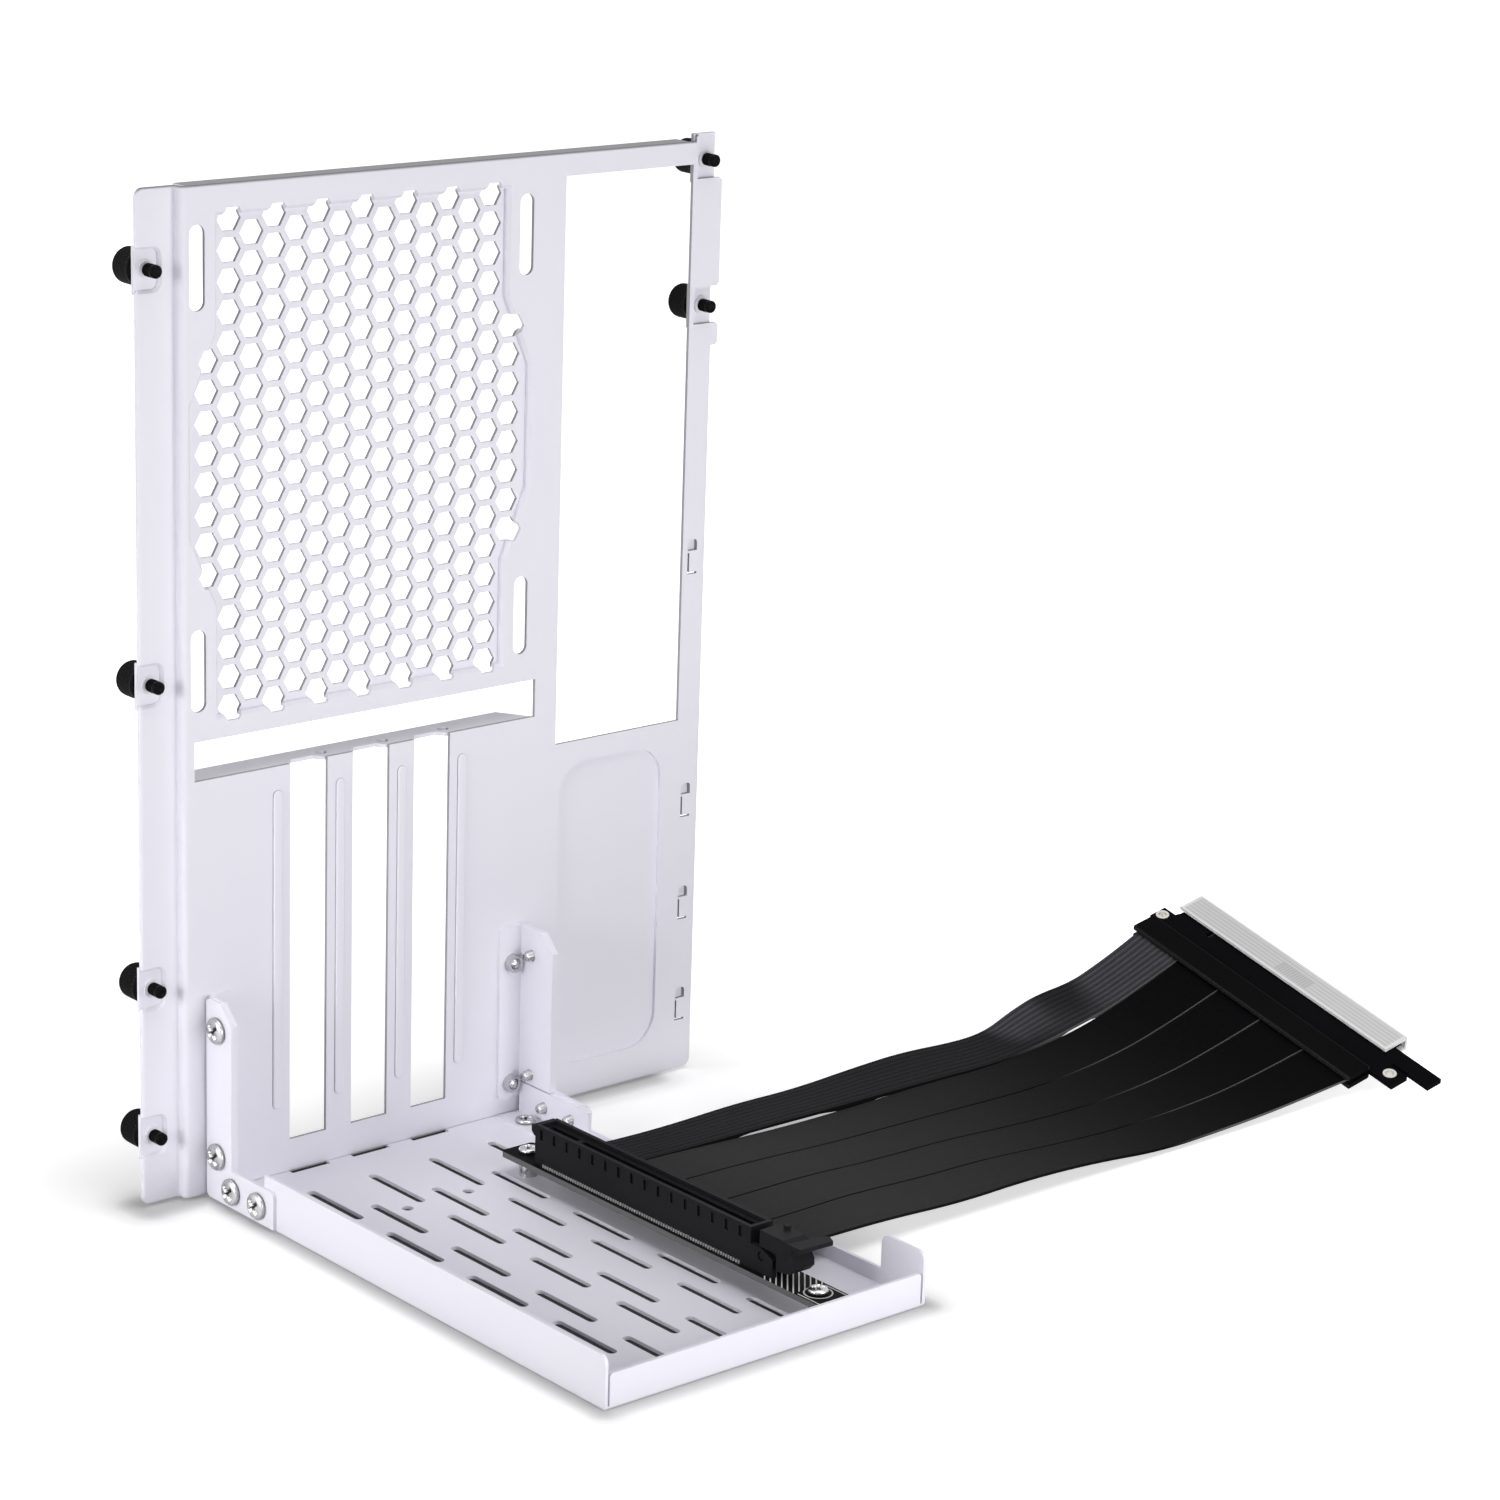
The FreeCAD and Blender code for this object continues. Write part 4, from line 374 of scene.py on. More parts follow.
def thumbscrew_profile():
    """Half outline of a thumbscrew from its tip, as (place along the axis, radius)."""
    tip = [(SCREW_TIP, 0.0), (SCREW_TIP + 0.25, 0.55), (SCREW_TIP, 0.8), (SCREW_TIP, 1.2)]
    tip += [(SCREW_TIP + 0.5, 1.72), (SCREW_TIP + 1.5, 1.75), (SCREW_TIP + 1.7, 1.4)]
    tip += [(SCREW_TIP + 2.0, 1.4), (SCREW_TIP + 2.2, 1.75)]
    thread = [(y, SCREW_THREAD_RADIUS) for y in np.linspace(SCREW_TIP + 2.25, SCREW_COLLAR, 24)]
    neck = [(SCREW_COLLAR, SCREW_NECK_RADIUS), (SCREW_SEAT, SCREW_NECK_RADIUS)]
    rim, dome = 0.7, 1.6
    head = [(SCREW_SEAT, 3.4), (SCREW_SEAT, SCREW_HEAD_RADIUS - rim)]
    head += arc(SCREW_SEAT + rim, SCREW_HEAD_RADIUS - rim, rim, -pi / 2, 0, 5)
    head += [(y, SCREW_HEAD_RADIUS) for y in np.linspace(SCREW_SEAT + 1.0, SCREW_END - dome - 0.2, 10)]
    head += arc(SCREW_END - dome, SCREW_HEAD_RADIUS - dome, dome, 0, pi / 2, 7)
    return np.array(tip + thread + neck + head + [(SCREW_END, 0.0)])


def thumbscrew(name, body):
    """Turn the profile round its axis; a helix dips into the thread, and straight teeth into the head."""
    low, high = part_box(name)
    centre_x, centre_z = (low.x + high.x) / 2 / MM, (low.z + high.z) / 2 / MM
    seat_y = low.y / MM - SCREW_TIP
    profile = thumbscrew_profile()
    columns = KNURL_TEETH * 4
    angle = np.linspace(0, 2 * pi, columns, endpoint=False)[None, :]
    along, radius = profile[:, :1], profile[:, 1:]
    on_thread = (along > SCREW_TIP + 2.2) & (along <= SCREW_COLLAR) & (radius > 1.6)
    helix = 0.5 - 0.5 * np.cos(2 * pi * along / THREAD_PITCH - angle)
    on_rim = (along > SCREW_SEAT + 0.9) & (along < SCREW_END - 1.4) & (radius > SCREW_HEAD_RADIUS - 0.2)
    tooth = np.abs(((angle * KNURL_TEETH / (2 * pi)) % 1) - 0.5) * 2
    reach = radius - THREAD_DEPTH * on_thread * helix - KNURL_DEPTH * on_rim * tooth
    points = np.stack([
        centre_x + reach * np.cos(angle), seat_y + along + 0 * angle, centre_z + reach * np.sin(angle),
    ], axis=-1)
    faces = grid_faces(len(profile), columns)[:, ::-1]
    piece = mesh_piece(name + "_turned", points.reshape(-1, 3), faces)
    close_poles(piece)
    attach(piece, body)
    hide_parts(name)
    return piece


def pan_screw(seat, axis, head_radius, head_height, length):
    """Points, faces and painted shade of a pan-head screw: a profile turned round its axis, a helix on its
    shank.

    The head's top sinks inside a cross of two bars. The painted shade is 1 in the cross, 0.6 at the head's
    foot."""
    rise, depth = head_height * PAN_RISE, head_height * CROSS_DEPTH
    steps = int((length - PAN_POINT) / THREAD_PITCH * 8) + 2
    profile = [(-length, 0.0), (-length, PAN_SHANK - PAN_POINT)]
    profile += [(t, PAN_SHANK) for t in np.linspace(PAN_POINT - length, -0.05, steps)]
    profile += [(0.0, PAN_SHANK), (0.0, head_radius - 0.2), (0.2, head_radius), (rise, head_radius)]
    ring = np.linspace(0, 1, 15)[1:]
    crown = rise + (head_height - rise) * np.sqrt(1 - (1 - ring) ** 2)
    profile = np.array(profile + list(zip(crown, head_radius * (1 - ring))))
    columns = 72
    angle = np.linspace(0, 2 * pi, columns, endpoint=False)[None, :]
    along, radius = profile[:, :1] + 0 * angle, profile[:, 1:] + 0 * angle
    on_thread = (along > 0.3 - length) & (along < 0) & (radius > PAN_SHANK - 0.2)
    helix = 0.5 - 0.5 * np.cos(2 * pi * along / THREAD_PITCH - angle)
    radius = radius - PAN_THREAD_DEPTH * on_thread * helix
    side, other = np.abs(radius * np.cos(angle)), np.abs(radius * np.sin(angle))
    bar, reach = head_radius * CROSS_BAR, head_radius * CROSS_REACH
    in_cross = ((side < bar) & (other < reach)) | ((other < bar) & (side < reach))
    sunk = in_cross & (along > rise)
    foot = (along >= 0) & (along < 0.25) & (radius > head_radius - 0.25)
    shade = np.maximum(sunk, 0.6 * foot)
    along = along - depth * sunk
    axis = Vector(axis)
    first = axis.orthogonal().normalized()
    second = axis.cross(first)
    points = np.array(seat) + along[..., None] * np.array(axis)
    points = points + (radius * np.cos(angle))[..., None] * np.array(first)
    points = points + (radius * np.sin(angle))[..., None] * np.array(second)
    return points.reshape(-1, 3), grid_faces(len(profile), columns), shade.ravel()


def screw_set(node, screws):
    """One piece of several pan-head screws in place of a CAD node."""
    points, faces, shades, count = [], [], [], 0
    for screw in screws:
        new_points, new_faces, shade = pan_screw(*screw)
        points.append(new_points)
        faces.append(new_faces + count)
        shades.append(shade)
        count += len(new_points)
    piece = mesh_piece(node + "_threaded", np.concatenate(points), np.concatenate(faces))
    # Painted shade of each point: 1 in a screw's cross, 0.6 at its head's foot
    layer = piece.data.attributes.new("shade", "FLOAT", "POINT")
    layer.data.foreach_set("value", np.concatenate(shades).astype(np.float32))
    close_poles(piece)
    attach(piece, "mount_frame")
    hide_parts(node)
    return piece


def build_screw_sets():
    """All pan-head screws: side plates, angles, tray corner and riser board."""
    sets = []
    for name, side in (("left", -1), ("right", 1)):
        spots = [((side * PLATE_FACE, y, z), (side, 0, 0), *PAN_SIZES) for y, z in PLATE_SCREWS]
        sets.append(screw_set(name + "_plate_screws", spots))
    rear = TRAY_HALF_DEPTH + GAUGE
    places = [(x, rear, z) for x in (-ANGLE_SCREW_X, ANGLE_SCREW_X) for z in ANGLE_SCREW_HEIGHTS]
    sets.append(screw_set("angle_screws", [(place, (0, 1, 0), *PAN_SIZES) for place in places]))
    sets.append(screw_set("tray_corner_screw", [(CORNER_SCREW, (0, 0, 1), *CORNER_SCREW_SIZES)]))
    sets.append(screw_set("board_screws", [(seat, (0, 0, 1), *BOARD_SCREW_SIZES) for seat in BOARD_SCREWS]))
    return sets


def new_material(name):
    """An empty node material; returns it with its tree and its Principled shader."""
    material = bpy.data.materials.new(name)
    material.use_nodes = True
    tree = material.node_tree
    return material, tree, tree.nodes["Principled BSDF"]


def add_node(tree, kind, **settings):
    """Add a node and set its properties; a setting that names an input fills that socket."""
    node = tree.nodes.new(kind)
    for key, value in settings.items():
        if hasattr(node, key):
            setattr(node, key, value)
        else:
            node.inputs[key.replace("_", " ")].default_value = value
    return node


def maths(tree, operation, first, second=0.0):
    """A Math node; each operand is a socket or a number. Returns its output."""
    node = add_node(tree, "ShaderNodeMath", operation=operation)
    for socket, value in zip(node.inputs, (first, second)):
        if isinstance(value, (int, float)):
            socket.default_value = value
        else:
            tree.links.new(value, socket)
    return node.outputs[0]


def ramp(tree, value, start, stop, low=0.0, high=1.0):
    """A smooth change from low to high while a value goes from start to stop."""
    node = add_node(tree, "ShaderNodeMapRange", interpolation_type="SMOOTHSTEP")
    for label, limit in zip(("From Min", "From Max", "To Min", "To Max"), (start, stop, low, high)):
        node.inputs[label].default_value = limit
    tree.links.new(value, node.inputs["Value"])
    return node.outputs[0]


def step_between(tree, value, low, high, soft):
    """1 where a value lies between two limits, fading over soft on both sides."""
    rising = ramp(tree, value, low - soft, low)
    return maths(tree, "MULTIPLY", rising, ramp(tree, value, high + soft, high))


def new_group(name, inputs, outputs):
    """A shader node group with typed inputs and float outputs; returned with its input and output nodes."""
    group = bpy.data.node_groups.new(name, "ShaderNodeTree")
    for label, kind in inputs:
        group.interface.new_socket(label, in_out="INPUT", socket_type="NodeSocket" + kind)
    for label in outputs:
        group.interface.new_socket(label, in_out="OUTPUT", socket_type="NodeSocketFloat")
    return group, group.nodes.new("NodeGroupInput"), group.nodes.new("NodeGroupOutput")


def speckle_group():
    """Grain of a coated or moulded surface: fine noise for height, slow noise for tone."""
    group, given, out = new_group("speckle", [("Place", "Vector"), ("Grain", "Float")], ["Height", "Tone"])
    links = group.links
    fine = add_node(group, "ShaderNodeTexNoise", Detail=3.0, Roughness=0.6)
    slow = add_node(group, "ShaderNodeTexNoise", Scale=14.0, Detail=2.0)
    links.new(given.outputs["Place"], fine.inputs["Vector"])
    links.new(given.outputs["Grain"], fine.inputs["Scale"])
    links.new(given.outputs["Place"], slow.inputs["Vector"])
    links.new(fine.outputs["Fac"], out.inputs["Height"])
    links.new(slow.outputs["Fac"], out.inputs["Tone"])
    return group


def lines_group():
    """Parallel lines across a value: 1 near each multiple of the step, 0 between."""
    inputs = [("Value", "Float"), ("Step", "Float"), ("Width", "Float")]
    group, given, out = new_group("lines", inputs, ["Mask"])
    count = maths(group, "DIVIDE", given.outputs["Value"], given.outputs["Step"])
    saw = maths(group, "ABSOLUTE", maths(group, "SUBTRACT", count, maths(group, "ROUND", count)))
    distance = maths(group, "MULTIPLY", saw, given.outputs["Step"])
    share = maths(group, "DIVIDE", distance, given.outputs["Width"])
    group.links.new(ramp(group, share, *LINE_EDGE), out.inputs["Mask"])
    return group


SPECKLE = speckle_group()
LINES = lines_group()


def lines(tree, value, step, width):
    """Place the lines group on a value."""
    node = add_node(tree, "ShaderNodeGroup", node_tree=LINES)
    node.inputs["Step"].default_value = step
    node.inputs["Width"].default_value = width
    tree.links.new(value, node.inputs["Value"])
    return node.outputs["Mask"]


def speckled(name):
    """A finish whose colour drifts between two tones and whose surface carries a fine grain."""
    dark, light, roughness, grain, depth, metallic, specular = FINISHES[name]
    material, tree, shader = new_material(name)
    place = add_node(tree, "ShaderNodeTexCoord", name="place")
    grainy = add_node(tree, "ShaderNodeGroup", node_tree=SPECKLE, name="grain")
    grainy.inputs["Grain"].default_value = grain
    tree.links.new(place.outputs["Object"], grainy.inputs["Place"])
    tint = add_node(tree, "ShaderNodeMix", data_type="RGBA", name="tint")
    tint.inputs["A"].default_value = (*dark, 1)
    tint.inputs["B"].default_value = (*light, 1)
    tree.links.new(grainy.outputs["Tone"], tint.inputs["Factor"])
    tree.links.new(tint.outputs["Result"], shader.inputs["Base Color"])
    gloss = add_node(tree, "ShaderNodeMapRange", name="gloss")
    gloss.inputs["To Min"].default_value = roughness[0]
    gloss.inputs["To Max"].default_value = roughness[1]
    tree.links.new(grainy.outputs["Height"], gloss.inputs["Value"])
    tree.links.new(gloss.outputs["Result"], shader.inputs["Roughness"])
    bump = add_node(tree, "ShaderNodeBump", Distance=depth, name="bump")
    bump.inputs["Strength"].default_value = GRAIN_STRENGTH
    tree.links.new(grainy.outputs["Height"], bump.inputs["Height"])
    tree.links.new(bump.outputs["Normal"], shader.inputs["Normal"])
    shader.inputs["Metallic"].default_value = metallic
    shader.inputs["Specular IOR Level"].default_value = specular
    return material


def overlay(material, mask, colour, share):
    """Lay a colour over a finish where the mask is 1, by the given share."""
    tree = material.node_tree
    shader = tree.nodes["Principled BSDF"]
    under = shader.inputs["Base Color"].links[0].from_socket
    mix = add_node(tree, "ShaderNodeMix", data_type="RGBA")
    mix.inputs["B"].default_value = (*colour, 1)
    tree.links.new(maths(tree, "MULTIPLY", mask, share), mix.inputs["Factor"])
    tree.links.new(under, mix.inputs["A"])
    tree.links.new(mix.outputs["Result"], shader.inputs["Base Color"])


def object_axes(tree):
    """X, Y and Z sockets of the object's own coordinates, in metres."""
    split = add_node(tree, "ShaderNodeSeparateXYZ")
    tree.links.new(tree.nodes["place"].outputs["Object"], split.inputs[0])
    return split.outputs


def plug_axes(tree):
    """X, Y and Z sockets in the plug's frame: the mouth at the origin, X along the insertion direction."""
    back = PLUG_TURN.transposed()
    mapping = add_node(tree, "ShaderNodeMapping")
    mapping.inputs["Rotation"].default_value = back.to_euler("XYZ")
    mapping.inputs["Location"].default_value = -(back @ PLUG_PLACE) * MM
    split = add_node(tree, "ShaderNodeSeparateXYZ")
    tree.links.new(tree.nodes["place"].outputs["Object"], mapping.inputs["Vector"])
    tree.links.new(mapping.outputs[0], split.inputs[0])
    return split.outputs


def clear_plastic():
    """Frosted polymer channel: milky, with bright rims, pale lengthwise lines and a patch of cross lines."""
    material = speckled("clear_plastic")
    tree = material.node_tree
    axes = plug_axes(tree)
    along, across = axes["X"], axes["Y"]
    patch = step_between(tree, across, *CAP_PATCH_ACROSS)
    patch = maths(tree, "MULTIPLY", patch, step_between(tree, along, *CAP_PATCH_ALONG))
    outside = maths(tree, "SUBTRACT", 1.0, patch)
    ribs = maths(tree, "MULTIPLY", lines(tree, along, *CAP_RIB_LINES), outside)
    overlay(material, ribs, *CAP_RIB_TINT)
    fingers = maths(tree, "MULTIPLY", lines(tree, across, *CAP_FINGER_LINES), patch)
    overlay(material, fingers, *CAP_FINGER_TINT)
    from_middle = maths(tree, "ABSOLUTE", maths(tree, "SUBTRACT", along, CAP_MIDDLE))
    rims = maths(tree, "GREATER_THAN", from_middle, CAP_RIM_FROM)
    ends = maths(tree, "GREATER_THAN", maths(tree, "ABSOLUTE", across), CAP_END_FROM)
    overlay(material, maths(tree, "MAXIMUM", rims, ends), *CAP_RIM_TINT)
    shader = tree.nodes["Principled BSDF"]
    shader.inputs["Transmission Weight"].default_value = CAP_TRANSMISSION
    shader.inputs["IOR"].default_value = CAP_IOR
    return material


def facing_axes(tree):
    """X, Y and Z sockets of the surface's direction in the object's own axes."""
    split = add_node(tree, "ShaderNodeSeparateXYZ")
    tree.links.new(tree.nodes["place"].outputs["Normal"], split.inputs[0])
    return split.outputs


def inside_box(tree, first, first_half, second, second_half):
    """1 where both values lie within their half widths, in millimetres, of zero."""
    near_first = maths(tree, "LESS_THAN", maths(tree, "ABSOLUTE", first), first_half * MM)
    near_second = maths(tree, "LESS_THAN", maths(tree, "ABSOLUTE", second), second_half * MM)
    return maths(tree, "MULTIPLY", near_first, near_second)


def panel_coat_and_painted_shade():
    """The white coat, with painted shade on the punched walls of the panel's openings and along its top
    fold.
    """
    material = speckled("panel_coat_and_painted_shade")
    tree = material.node_tree
    x, y, z = object_axes(tree)
    facing = facing_axes(tree)
    wall = maths(tree, "LESS_THAN", maths(tree, "ABSOLUTE", facing["Y"]), WALL_FACING)
    slanted = maths(tree, "LESS_THAN", maths(tree, "ABSOLUTE", facing["Z"]), SLANT_FACING)
    in_front = maths(tree, "LESS_THAN", y, (TRAY_HALF_DEPTH + GAUGE + 0.1) * MM)
    wall = maths(tree, "MULTIPLY", wall, maths(tree, "MAXIMUM", slanted, in_front))
    wall = maths(tree, "MULTIPLY", wall, maths(tree, "GREATER_THAN", x, JOGGLE_X * MM))
    from_fan_x = maths(tree, "SUBTRACT", x, FAN_CENTRE[0] * MM)
    from_fan_z = maths(tree, "SUBTRACT", z, FAN_CENTRE[1] * MM)
    tall, wide = [inside_box(tree, from_fan_x, half[0], from_fan_z, half[1]) for half in FAN_RECESS_HALVES]
    recess = maths(tree, "MAXIMUM", tall, wide)
    rim = maths(tree, "MULTIPLY", recess, maths(tree, "LESS_THAN", y, (TRAY_HALF_DEPTH + RECESS_BACK) * MM))
    from_press_x = maths(tree, "SUBTRACT", x, PRESS_CENTRE[0] * MM)
    from_press_z = maths(tree, "SUBTRACT", z, PRESS_CENTRE[1] * MM)
    press = inside_box(tree, from_press_x, PRESS_HALF[0], from_press_z, PRESS_HALF[1])
    plain = maths(tree, "MAXIMUM", rim, press)
    wall = maths(tree, "MULTIPLY", wall, maths(tree, "SUBTRACT", 1.0, plain))
    # Painted shade on the punched walls of the openings
    overlay(material, wall, *WALL_PAINTED_SHADE)
    # Painted shade along the top fold where it faces up
    upward = ramp(tree, facing["Z"], *FOLD_FACING)
    fold = maths(tree, "MULTIPLY", upward, maths(tree, "GREATER_THAN", z, TOP_FOLD_Z * MM))
    overlay(material, fold, *FOLD_PAINTED_SHADE)
    return material


def zinc_and_painted_shade():
    """Bright zinc with painted shade in a screw's cross and at the foot of its head."""
    material = speckled("zinc")
    tree = material.node_tree
    # Painted shade from the screws' shade attribute: dark in the cross and at the head's foot
    shade = add_node(tree, "ShaderNodeAttribute", attribute_name="shade")
    overlay(material, shade.outputs["Fac"], *CROSS_PAINTED_SHADE)
    return material


def plug_cover_and_painted_highlights():
    """Matt black polymer with a painted highlight line along each long edge of the cover."""
    material = speckled("plug_cover")
    tree = material.node_tree
    along = plug_axes(tree)["X"]
    # Painted highlights along the cover's far and near top edges
    far, near = [step_between(tree, along, *limits) for limits in PAINTED_HIGHLIGHT_LINES]
    overlay(material, maths(tree, "MAXIMUM", far, near), *PAINTED_HIGHLIGHT_TINT)
    return material


def riser_board_finish():
    """Black solder mask: a slanted white hatch, a ring and borders by the front screw, grey cut edges."""
    material = speckled("riser_board_mask")
    tree = material.node_tree
    axes = object_axes(tree)
    x, y = axes["X"], axes["Y"]
    face_up = facing_axes(tree)["Z"]
    top = maths(tree, "GREATER_THAN", face_up, BOARD_FACING)
    share_x = maths(tree, "MULTIPLY", x, HATCH_SLANT[0])
    slant = maths(tree, "SUBTRACT", share_x, maths(tree, "MULTIPLY", y, HATCH_SLANT[1]))
    hatch = lines(tree, slant, *HATCH_LINES)
    ahead = step_between(tree, y, *HATCH_ALONG)
    hatch = maths(tree, "MULTIPLY", maths(tree, "MULTIPLY", hatch, ahead), top)
    overlay(material, hatch, *HATCH_TINT)
    from_screw_x = maths(tree, "SUBTRACT", x, BOARD_SCREWS[1][0] * MM)
    from_screw_y = maths(tree, "SUBTRACT", y, BOARD_SCREWS[1][1] * MM)
    square = maths(tree, "ADD", maths(tree, "POWER", maths(tree, "ABSOLUTE", from_screw_x), 2.0),
                   maths(tree, "POWER", maths(tree, "ABSOLUTE", from_screw_y), 2.0))
    ring = step_between(tree, maths(tree, "SQRT", square), *RING_RADII)
    border = step_between(tree, maths(tree, "ABSOLUTE", from_screw_x), *BORDER_ACROSS)
    border = maths(tree, "MULTIPLY", border, step_between(tree, y, *BORDER_ALONG))
    marks = maths(tree, "MULTIPLY", maths(tree, "MAXIMUM", ring, border), top)
    overlay(material, marks, *PRINT_TINT)
    edge = maths(tree, "LESS_THAN", maths(tree, "ABSOLUTE", face_up), BOARD_FACING)
    overlay(material, edge, *CUT_EDGE_TINT)
    return material


def ribbon_jacket(name):
    """Matt black sheath: painted shade darkens it towards the plug, a painted sheen makes it paler where it
    rises, painted shade lies in the rib valleys, and fine ribs are a bump.

    Its edges carry painted shade as dark lines, and painted highlights as pale ones by the plug."""
    near_plug, rib_count, rib_depth, sheen = JACKETS[name]
    material = speckled(name)
    tree = material.node_tree
    shader = tree.nodes["Principled BSDF"]
    split = add_node(tree, "ShaderNodeSeparateXYZ")
    tree.links.new(tree.nodes["place"].outputs["UV"], split.inputs[0])
    along, across = split.outputs[0], split.outputs[1]
    # Painted shade: darker towards the plug
    overlay(material, step_between(tree, along, *PLUG_END), near_plug, 1.0)
    # Painted sheen where the strip rises
    rising = ramp(tree, facing_axes(tree)["X"], *SHEEN_FACING)
    overlay(material, rising, SHEEN_COLOUR, sheen)
    ribs = maths(tree, "COSINE", maths(tree, "MULTIPLY", across, 2 * pi * rib_count))
    # Painted shade in the rib valleys
    valleys = maths(tree, "SUBTRACT", 0.5, maths(tree, "MULTIPLY", ribs, 0.5))
    overlay(material, valleys, VALLEY_PAINTED_SHADE, VALLEY_SHARE * sheen)
    # Painted shade along the strip's edges, as dark seam lines
    rim = maths(tree, "ABSOLUTE", maths(tree, "SUBTRACT", across, 0.5))
    overlay(material, step_between(tree, rim, *SEAM_ACROSS), *SEAM_PAINTED_SHADE)
    # Painted highlight on the outermost rims by the plug
    outermost = step_between(tree, rim, *PALE_ACROSS)
    pale = maths(tree, "MULTIPLY", outermost, step_between(tree, along, *PALE_ALONG))
    overlay(material, pale, *PALE_RIM_HIGHLIGHT)
    bump = add_node(tree, "ShaderNodeBump", Distance=rib_depth)
    bump.inputs["Strength"].default_value = RIB_STRENGTH
    tree.links.new(ribs, bump.inputs["Height"])
    tree.links.new(tree.nodes["bump"].outputs["Normal"], bump.inputs["Normal"])
    tree.links.new(bump.outputs["Normal"], shader.inputs["Normal"])
    return material


def build_materials():
    """One finish for each of the record's material slots, and for single pieces that have their own."""
    plain = ("white_coat", "black_knob", "nickel", "circuit_board", "black_plastic", "contact_metal")
    finishes = {name: speckled(name) for name in plain}
    finishes["rear_panel"] = panel_coat_and_painted_shade()
    finishes["riser_board"] = riser_board_finish()
    finishes["plug_cover_top"] = plug_cover_and_painted_highlights()
    finishes["plug_cover_bottom"] = finishes["plug_cover_top"]
    finishes["zinc"] = zinc_and_painted_shade()
    finishes["clear_plastic"] = clear_plastic()
    for name in JACKETS:
        finishes[name] = ribbon_jacket(name)
    return finishes


def build_camera():
    """Camera turned to its azimuth and elevation, then rolled about its own line of sight."""
    data = bpy.data.cameras.new("camera")
    data.lens = CAMERA_LENS
    data.sensor_width = CAMERA_SENSOR
    data.clip_start = 0.01
    data.clip_end = 50
    camera = bpy.data.objects.new("camera", data)
    scene.collection.objects.link(camera)
    flat = cos(CAMERA_ELEVATION)
    back = Vector((sin(CAMERA_AZIMUTH) * flat, -cos(CAMERA_AZIMUTH) * flat, sin(CAMERA_ELEVATION)))
    camera.rotation_mode = "QUATERNION"
    camera.rotation_quaternion = (-back).to_track_quat("-Z", "Y") @ Quaternion((0, 0, 1), CAMERA_ROLL)
    camera.location = CAMERA_PLACE
    scene.camera = camera


def seen_directly(tree):
    """A value of 1 for rays from the camera, and for rays that left metal or glass."""
    path = add_node(tree, "ShaderNodeLightPath")
    seen = maths(tree, "MAXIMUM", path.outputs["Is Camera Ray"], path.outputs["Is Glossy Ray"])
    return maths(tree, "MAXIMUM", seen, path.outputs["Is Transmission Ray"])


def floor_patch(tree, x, y, box, soft):
    """1 inside a box of the floor, given as low x, high x, low y and high y; it fades over soft outside."""
    low_x, high_x, low_y, high_y, fade = (value * MM for value in (*box, soft))
    across = step_between(tree, x, low_x, high_x, fade)
    return maths(tree, "MULTIPLY", across, step_between(tree, y, low_y, high_y, fade))


def floor_shades(tree, x, y):
    """Masks of painted shade on the floor: under the tray, close to the feet of tray and panel, and wide
    around both.
    """
    tray = (-TRAY_HALF_WIDTH, TRAY_HALF_WIDTH, -TRAY_HALF_DEPTH, TRAY_HALF_DEPTH)
    under = floor_patch(tree, x, y, UNDER_TRAY, UNDER_FADE)
    foot = floor_patch(tree, x, y, tray, FOOT_FADE)
    contact = maths(tree, "MAXIMUM", foot, floor_patch(tree, x, y, PANEL_FOOT, PANEL_FOOT_FADE))
    wide = floor_patch(tree, x, y, tray, BESIDE_TRAY_FADE)
    beside = maths(tree, "MAXIMUM", wide, floor_patch(tree, x, y, BESIDE_PANEL, BESIDE_PANEL_FADE))
    return under, contact, beside


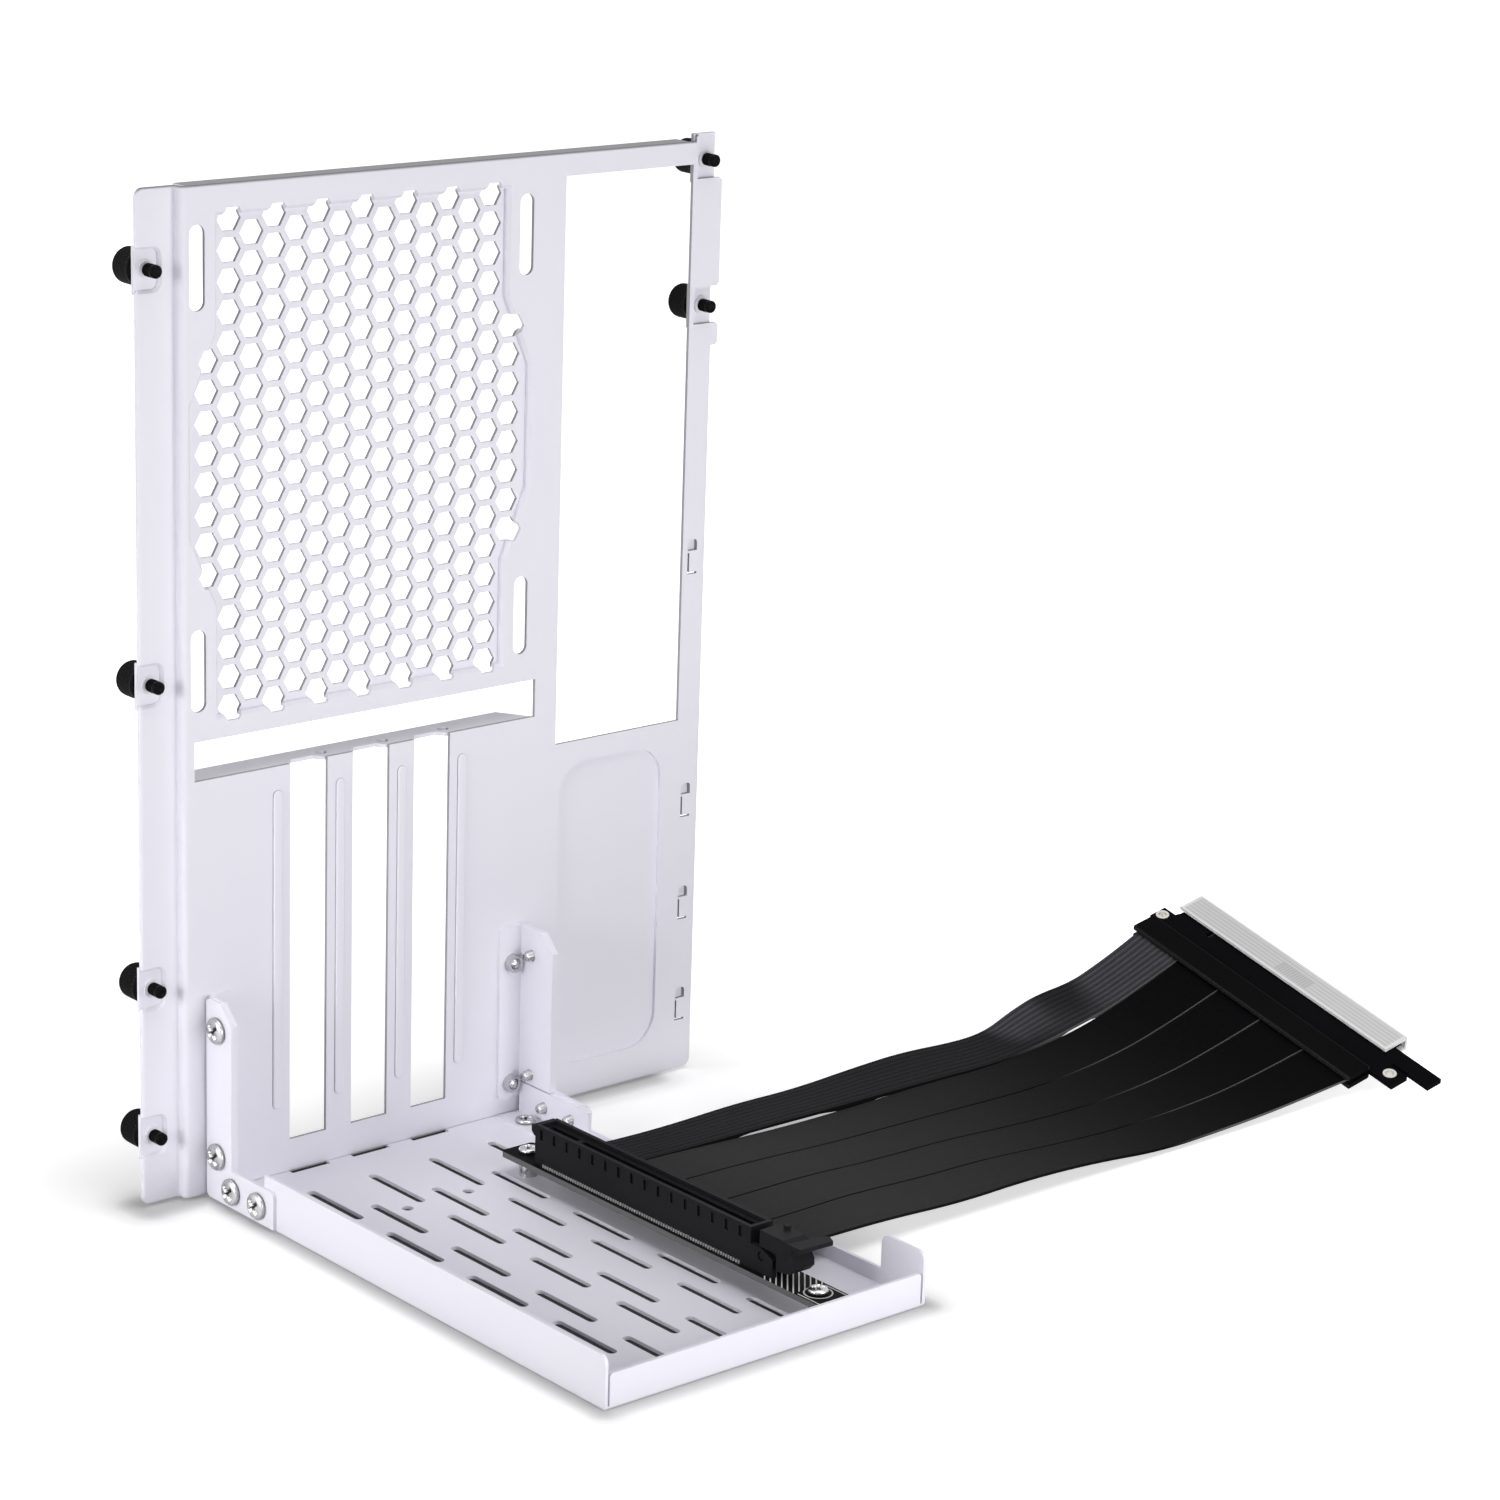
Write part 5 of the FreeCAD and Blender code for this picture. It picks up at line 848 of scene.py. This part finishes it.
def build_floor():
    """A wide pale floor, with painted shade under the tray and painted shadows at the feet.

    Its glow is seen only directly or in metal and glass, is weaker near the object and white further out."""
    corners = FLOOR_HALF * FLOOR_CORNERS + (0, 0, FLOOR_LEVEL)
    floor = mesh_piece("floor", corners, [[0, 1, 2, 3]], smooth=False)
    material, tree, shader = new_material("floor")
    shader.inputs["Roughness"].default_value = 1.0
    shader.inputs["Specular IOR Level"].default_value = 0.0
    place = add_node(tree, "ShaderNodeTexCoord", name="place")
    axes = object_axes(tree)
    under, contact, beside = floor_shades(tree, axes["X"], axes["Y"])
    # Painted shade: the floor's colour turns dark under the tray
    tint = add_node(tree, "ShaderNodeMix", data_type="RGBA")
    tint.inputs["A"].default_value = (*FLOOR_COLOUR, 1)
    tint.inputs["B"].default_value = (*UNDER_PAINTED_SHADE, 1)
    tree.links.new(under, tint.inputs["Factor"])
    tree.links.new(tint.outputs["Result"], shader.inputs["Base Color"])
    # Painted shadow: the floor's colour darkens close to the feet of tray and panel
    outside = maths(tree, "SUBTRACT", contact, under)
    overlay(material, outside, *CONTACT_PAINTED_SHADOW)
    away = add_node(tree, "ShaderNodeVectorMath", operation="LENGTH")
    tree.links.new(place.outputs["Object"], away.inputs[0])
    level = ramp(tree, away.outputs["Value"], *FLOOR_GLOW)
    # Painted shade: the glow is dimmed at the feet and around tray and panel
    beside = maths(tree, "MULTIPLY", beside, BESIDE_DIMMING)
    dimmed = maths(tree, "MAXIMUM", beside, maths(tree, "MULTIPLY", contact, CONTACT_DIMMING))
    shade = maths(tree, "SUBTRACT", 1.0, maths(tree, "MAXIMUM", under, dimmed))
    glow = maths(tree, "MULTIPLY", level, shade)
    shader.inputs["Emission Color"].default_value = (1, 1, 1, 1)
    tree.links.new(maths(tree, "MULTIPLY", glow, seen_directly(tree)), shader.inputs["Emission Strength"])
    floor.data.materials.append(material)


def build_world():
    """White where it is seen, softer where it lights the object."""
    world = bpy.data.worlds.new("studio")
    world.use_nodes = True
    tree = world.node_tree
    background = tree.nodes["Background"]
    background.inputs["Color"].default_value = (1, 1, 1, 1)
    level = add_node(tree, "ShaderNodeMapRange")
    level.inputs["To Min"].default_value = WORLD_LEVEL
    level.inputs["To Max"].default_value = 1.0
    tree.links.new(seen_directly(tree), level.inputs["Value"])
    tree.links.new(level.outputs["Result"], background.inputs["Strength"])
    scene.world = world


def soft_box(name, place, aim, width, spread, watts):
    """A square lamp that faces a point; the spread is the angle of its cone of light in degrees."""
    data = bpy.data.lights.new(name, "AREA")
    data.size = width
    data.spread = radians(spread)
    data.energy = watts
    lamp = bpy.data.objects.new(name, data)
    lamp.visible_camera = False
    scene.collection.objects.link(lamp)
    lamp.location = place
    lamp.rotation_mode = "QUATERNION"
    lamp.rotation_quaternion = (Vector(aim) - Vector(place)).to_track_quat("-Z", "Y")


def build_lights():
    """Place every soft box."""
    for box in SOFT_BOXES:
        soft_box(*box)


strips = [ribbon_strip(number, *edges) for number, edges in enumerate(strip_edges(), start=1)]
knobs = []
for side, count in (("left", 4), ("right", 2)):
    for number in range(1, count + 1):
        place = "%s_%d" % (side, number)
        knobs.append(thumbscrew("thumbscrew_" + place, "knob_" + place))
screws = build_screw_sets()

finishes = build_materials()
for subpart in record["subparts"]:
    holder = nodes[subpart["node"]].data
    holder.materials.clear()
    holder.materials.append(finishes.get(subpart["node"], finishes[subpart["material_slot"]]))
dressed = {"ribbed_jacket": strips[:1], "ribbon_jacket": strips[1:], "black_knob": knobs, "zinc": screws}
for finish, pieces in dressed.items():
    for piece in pieces:
        piece.data.materials.append(finishes[finish])

build_camera()
build_floor()
build_world()
build_lights()
scene.view_settings.view_transform = "Standard"
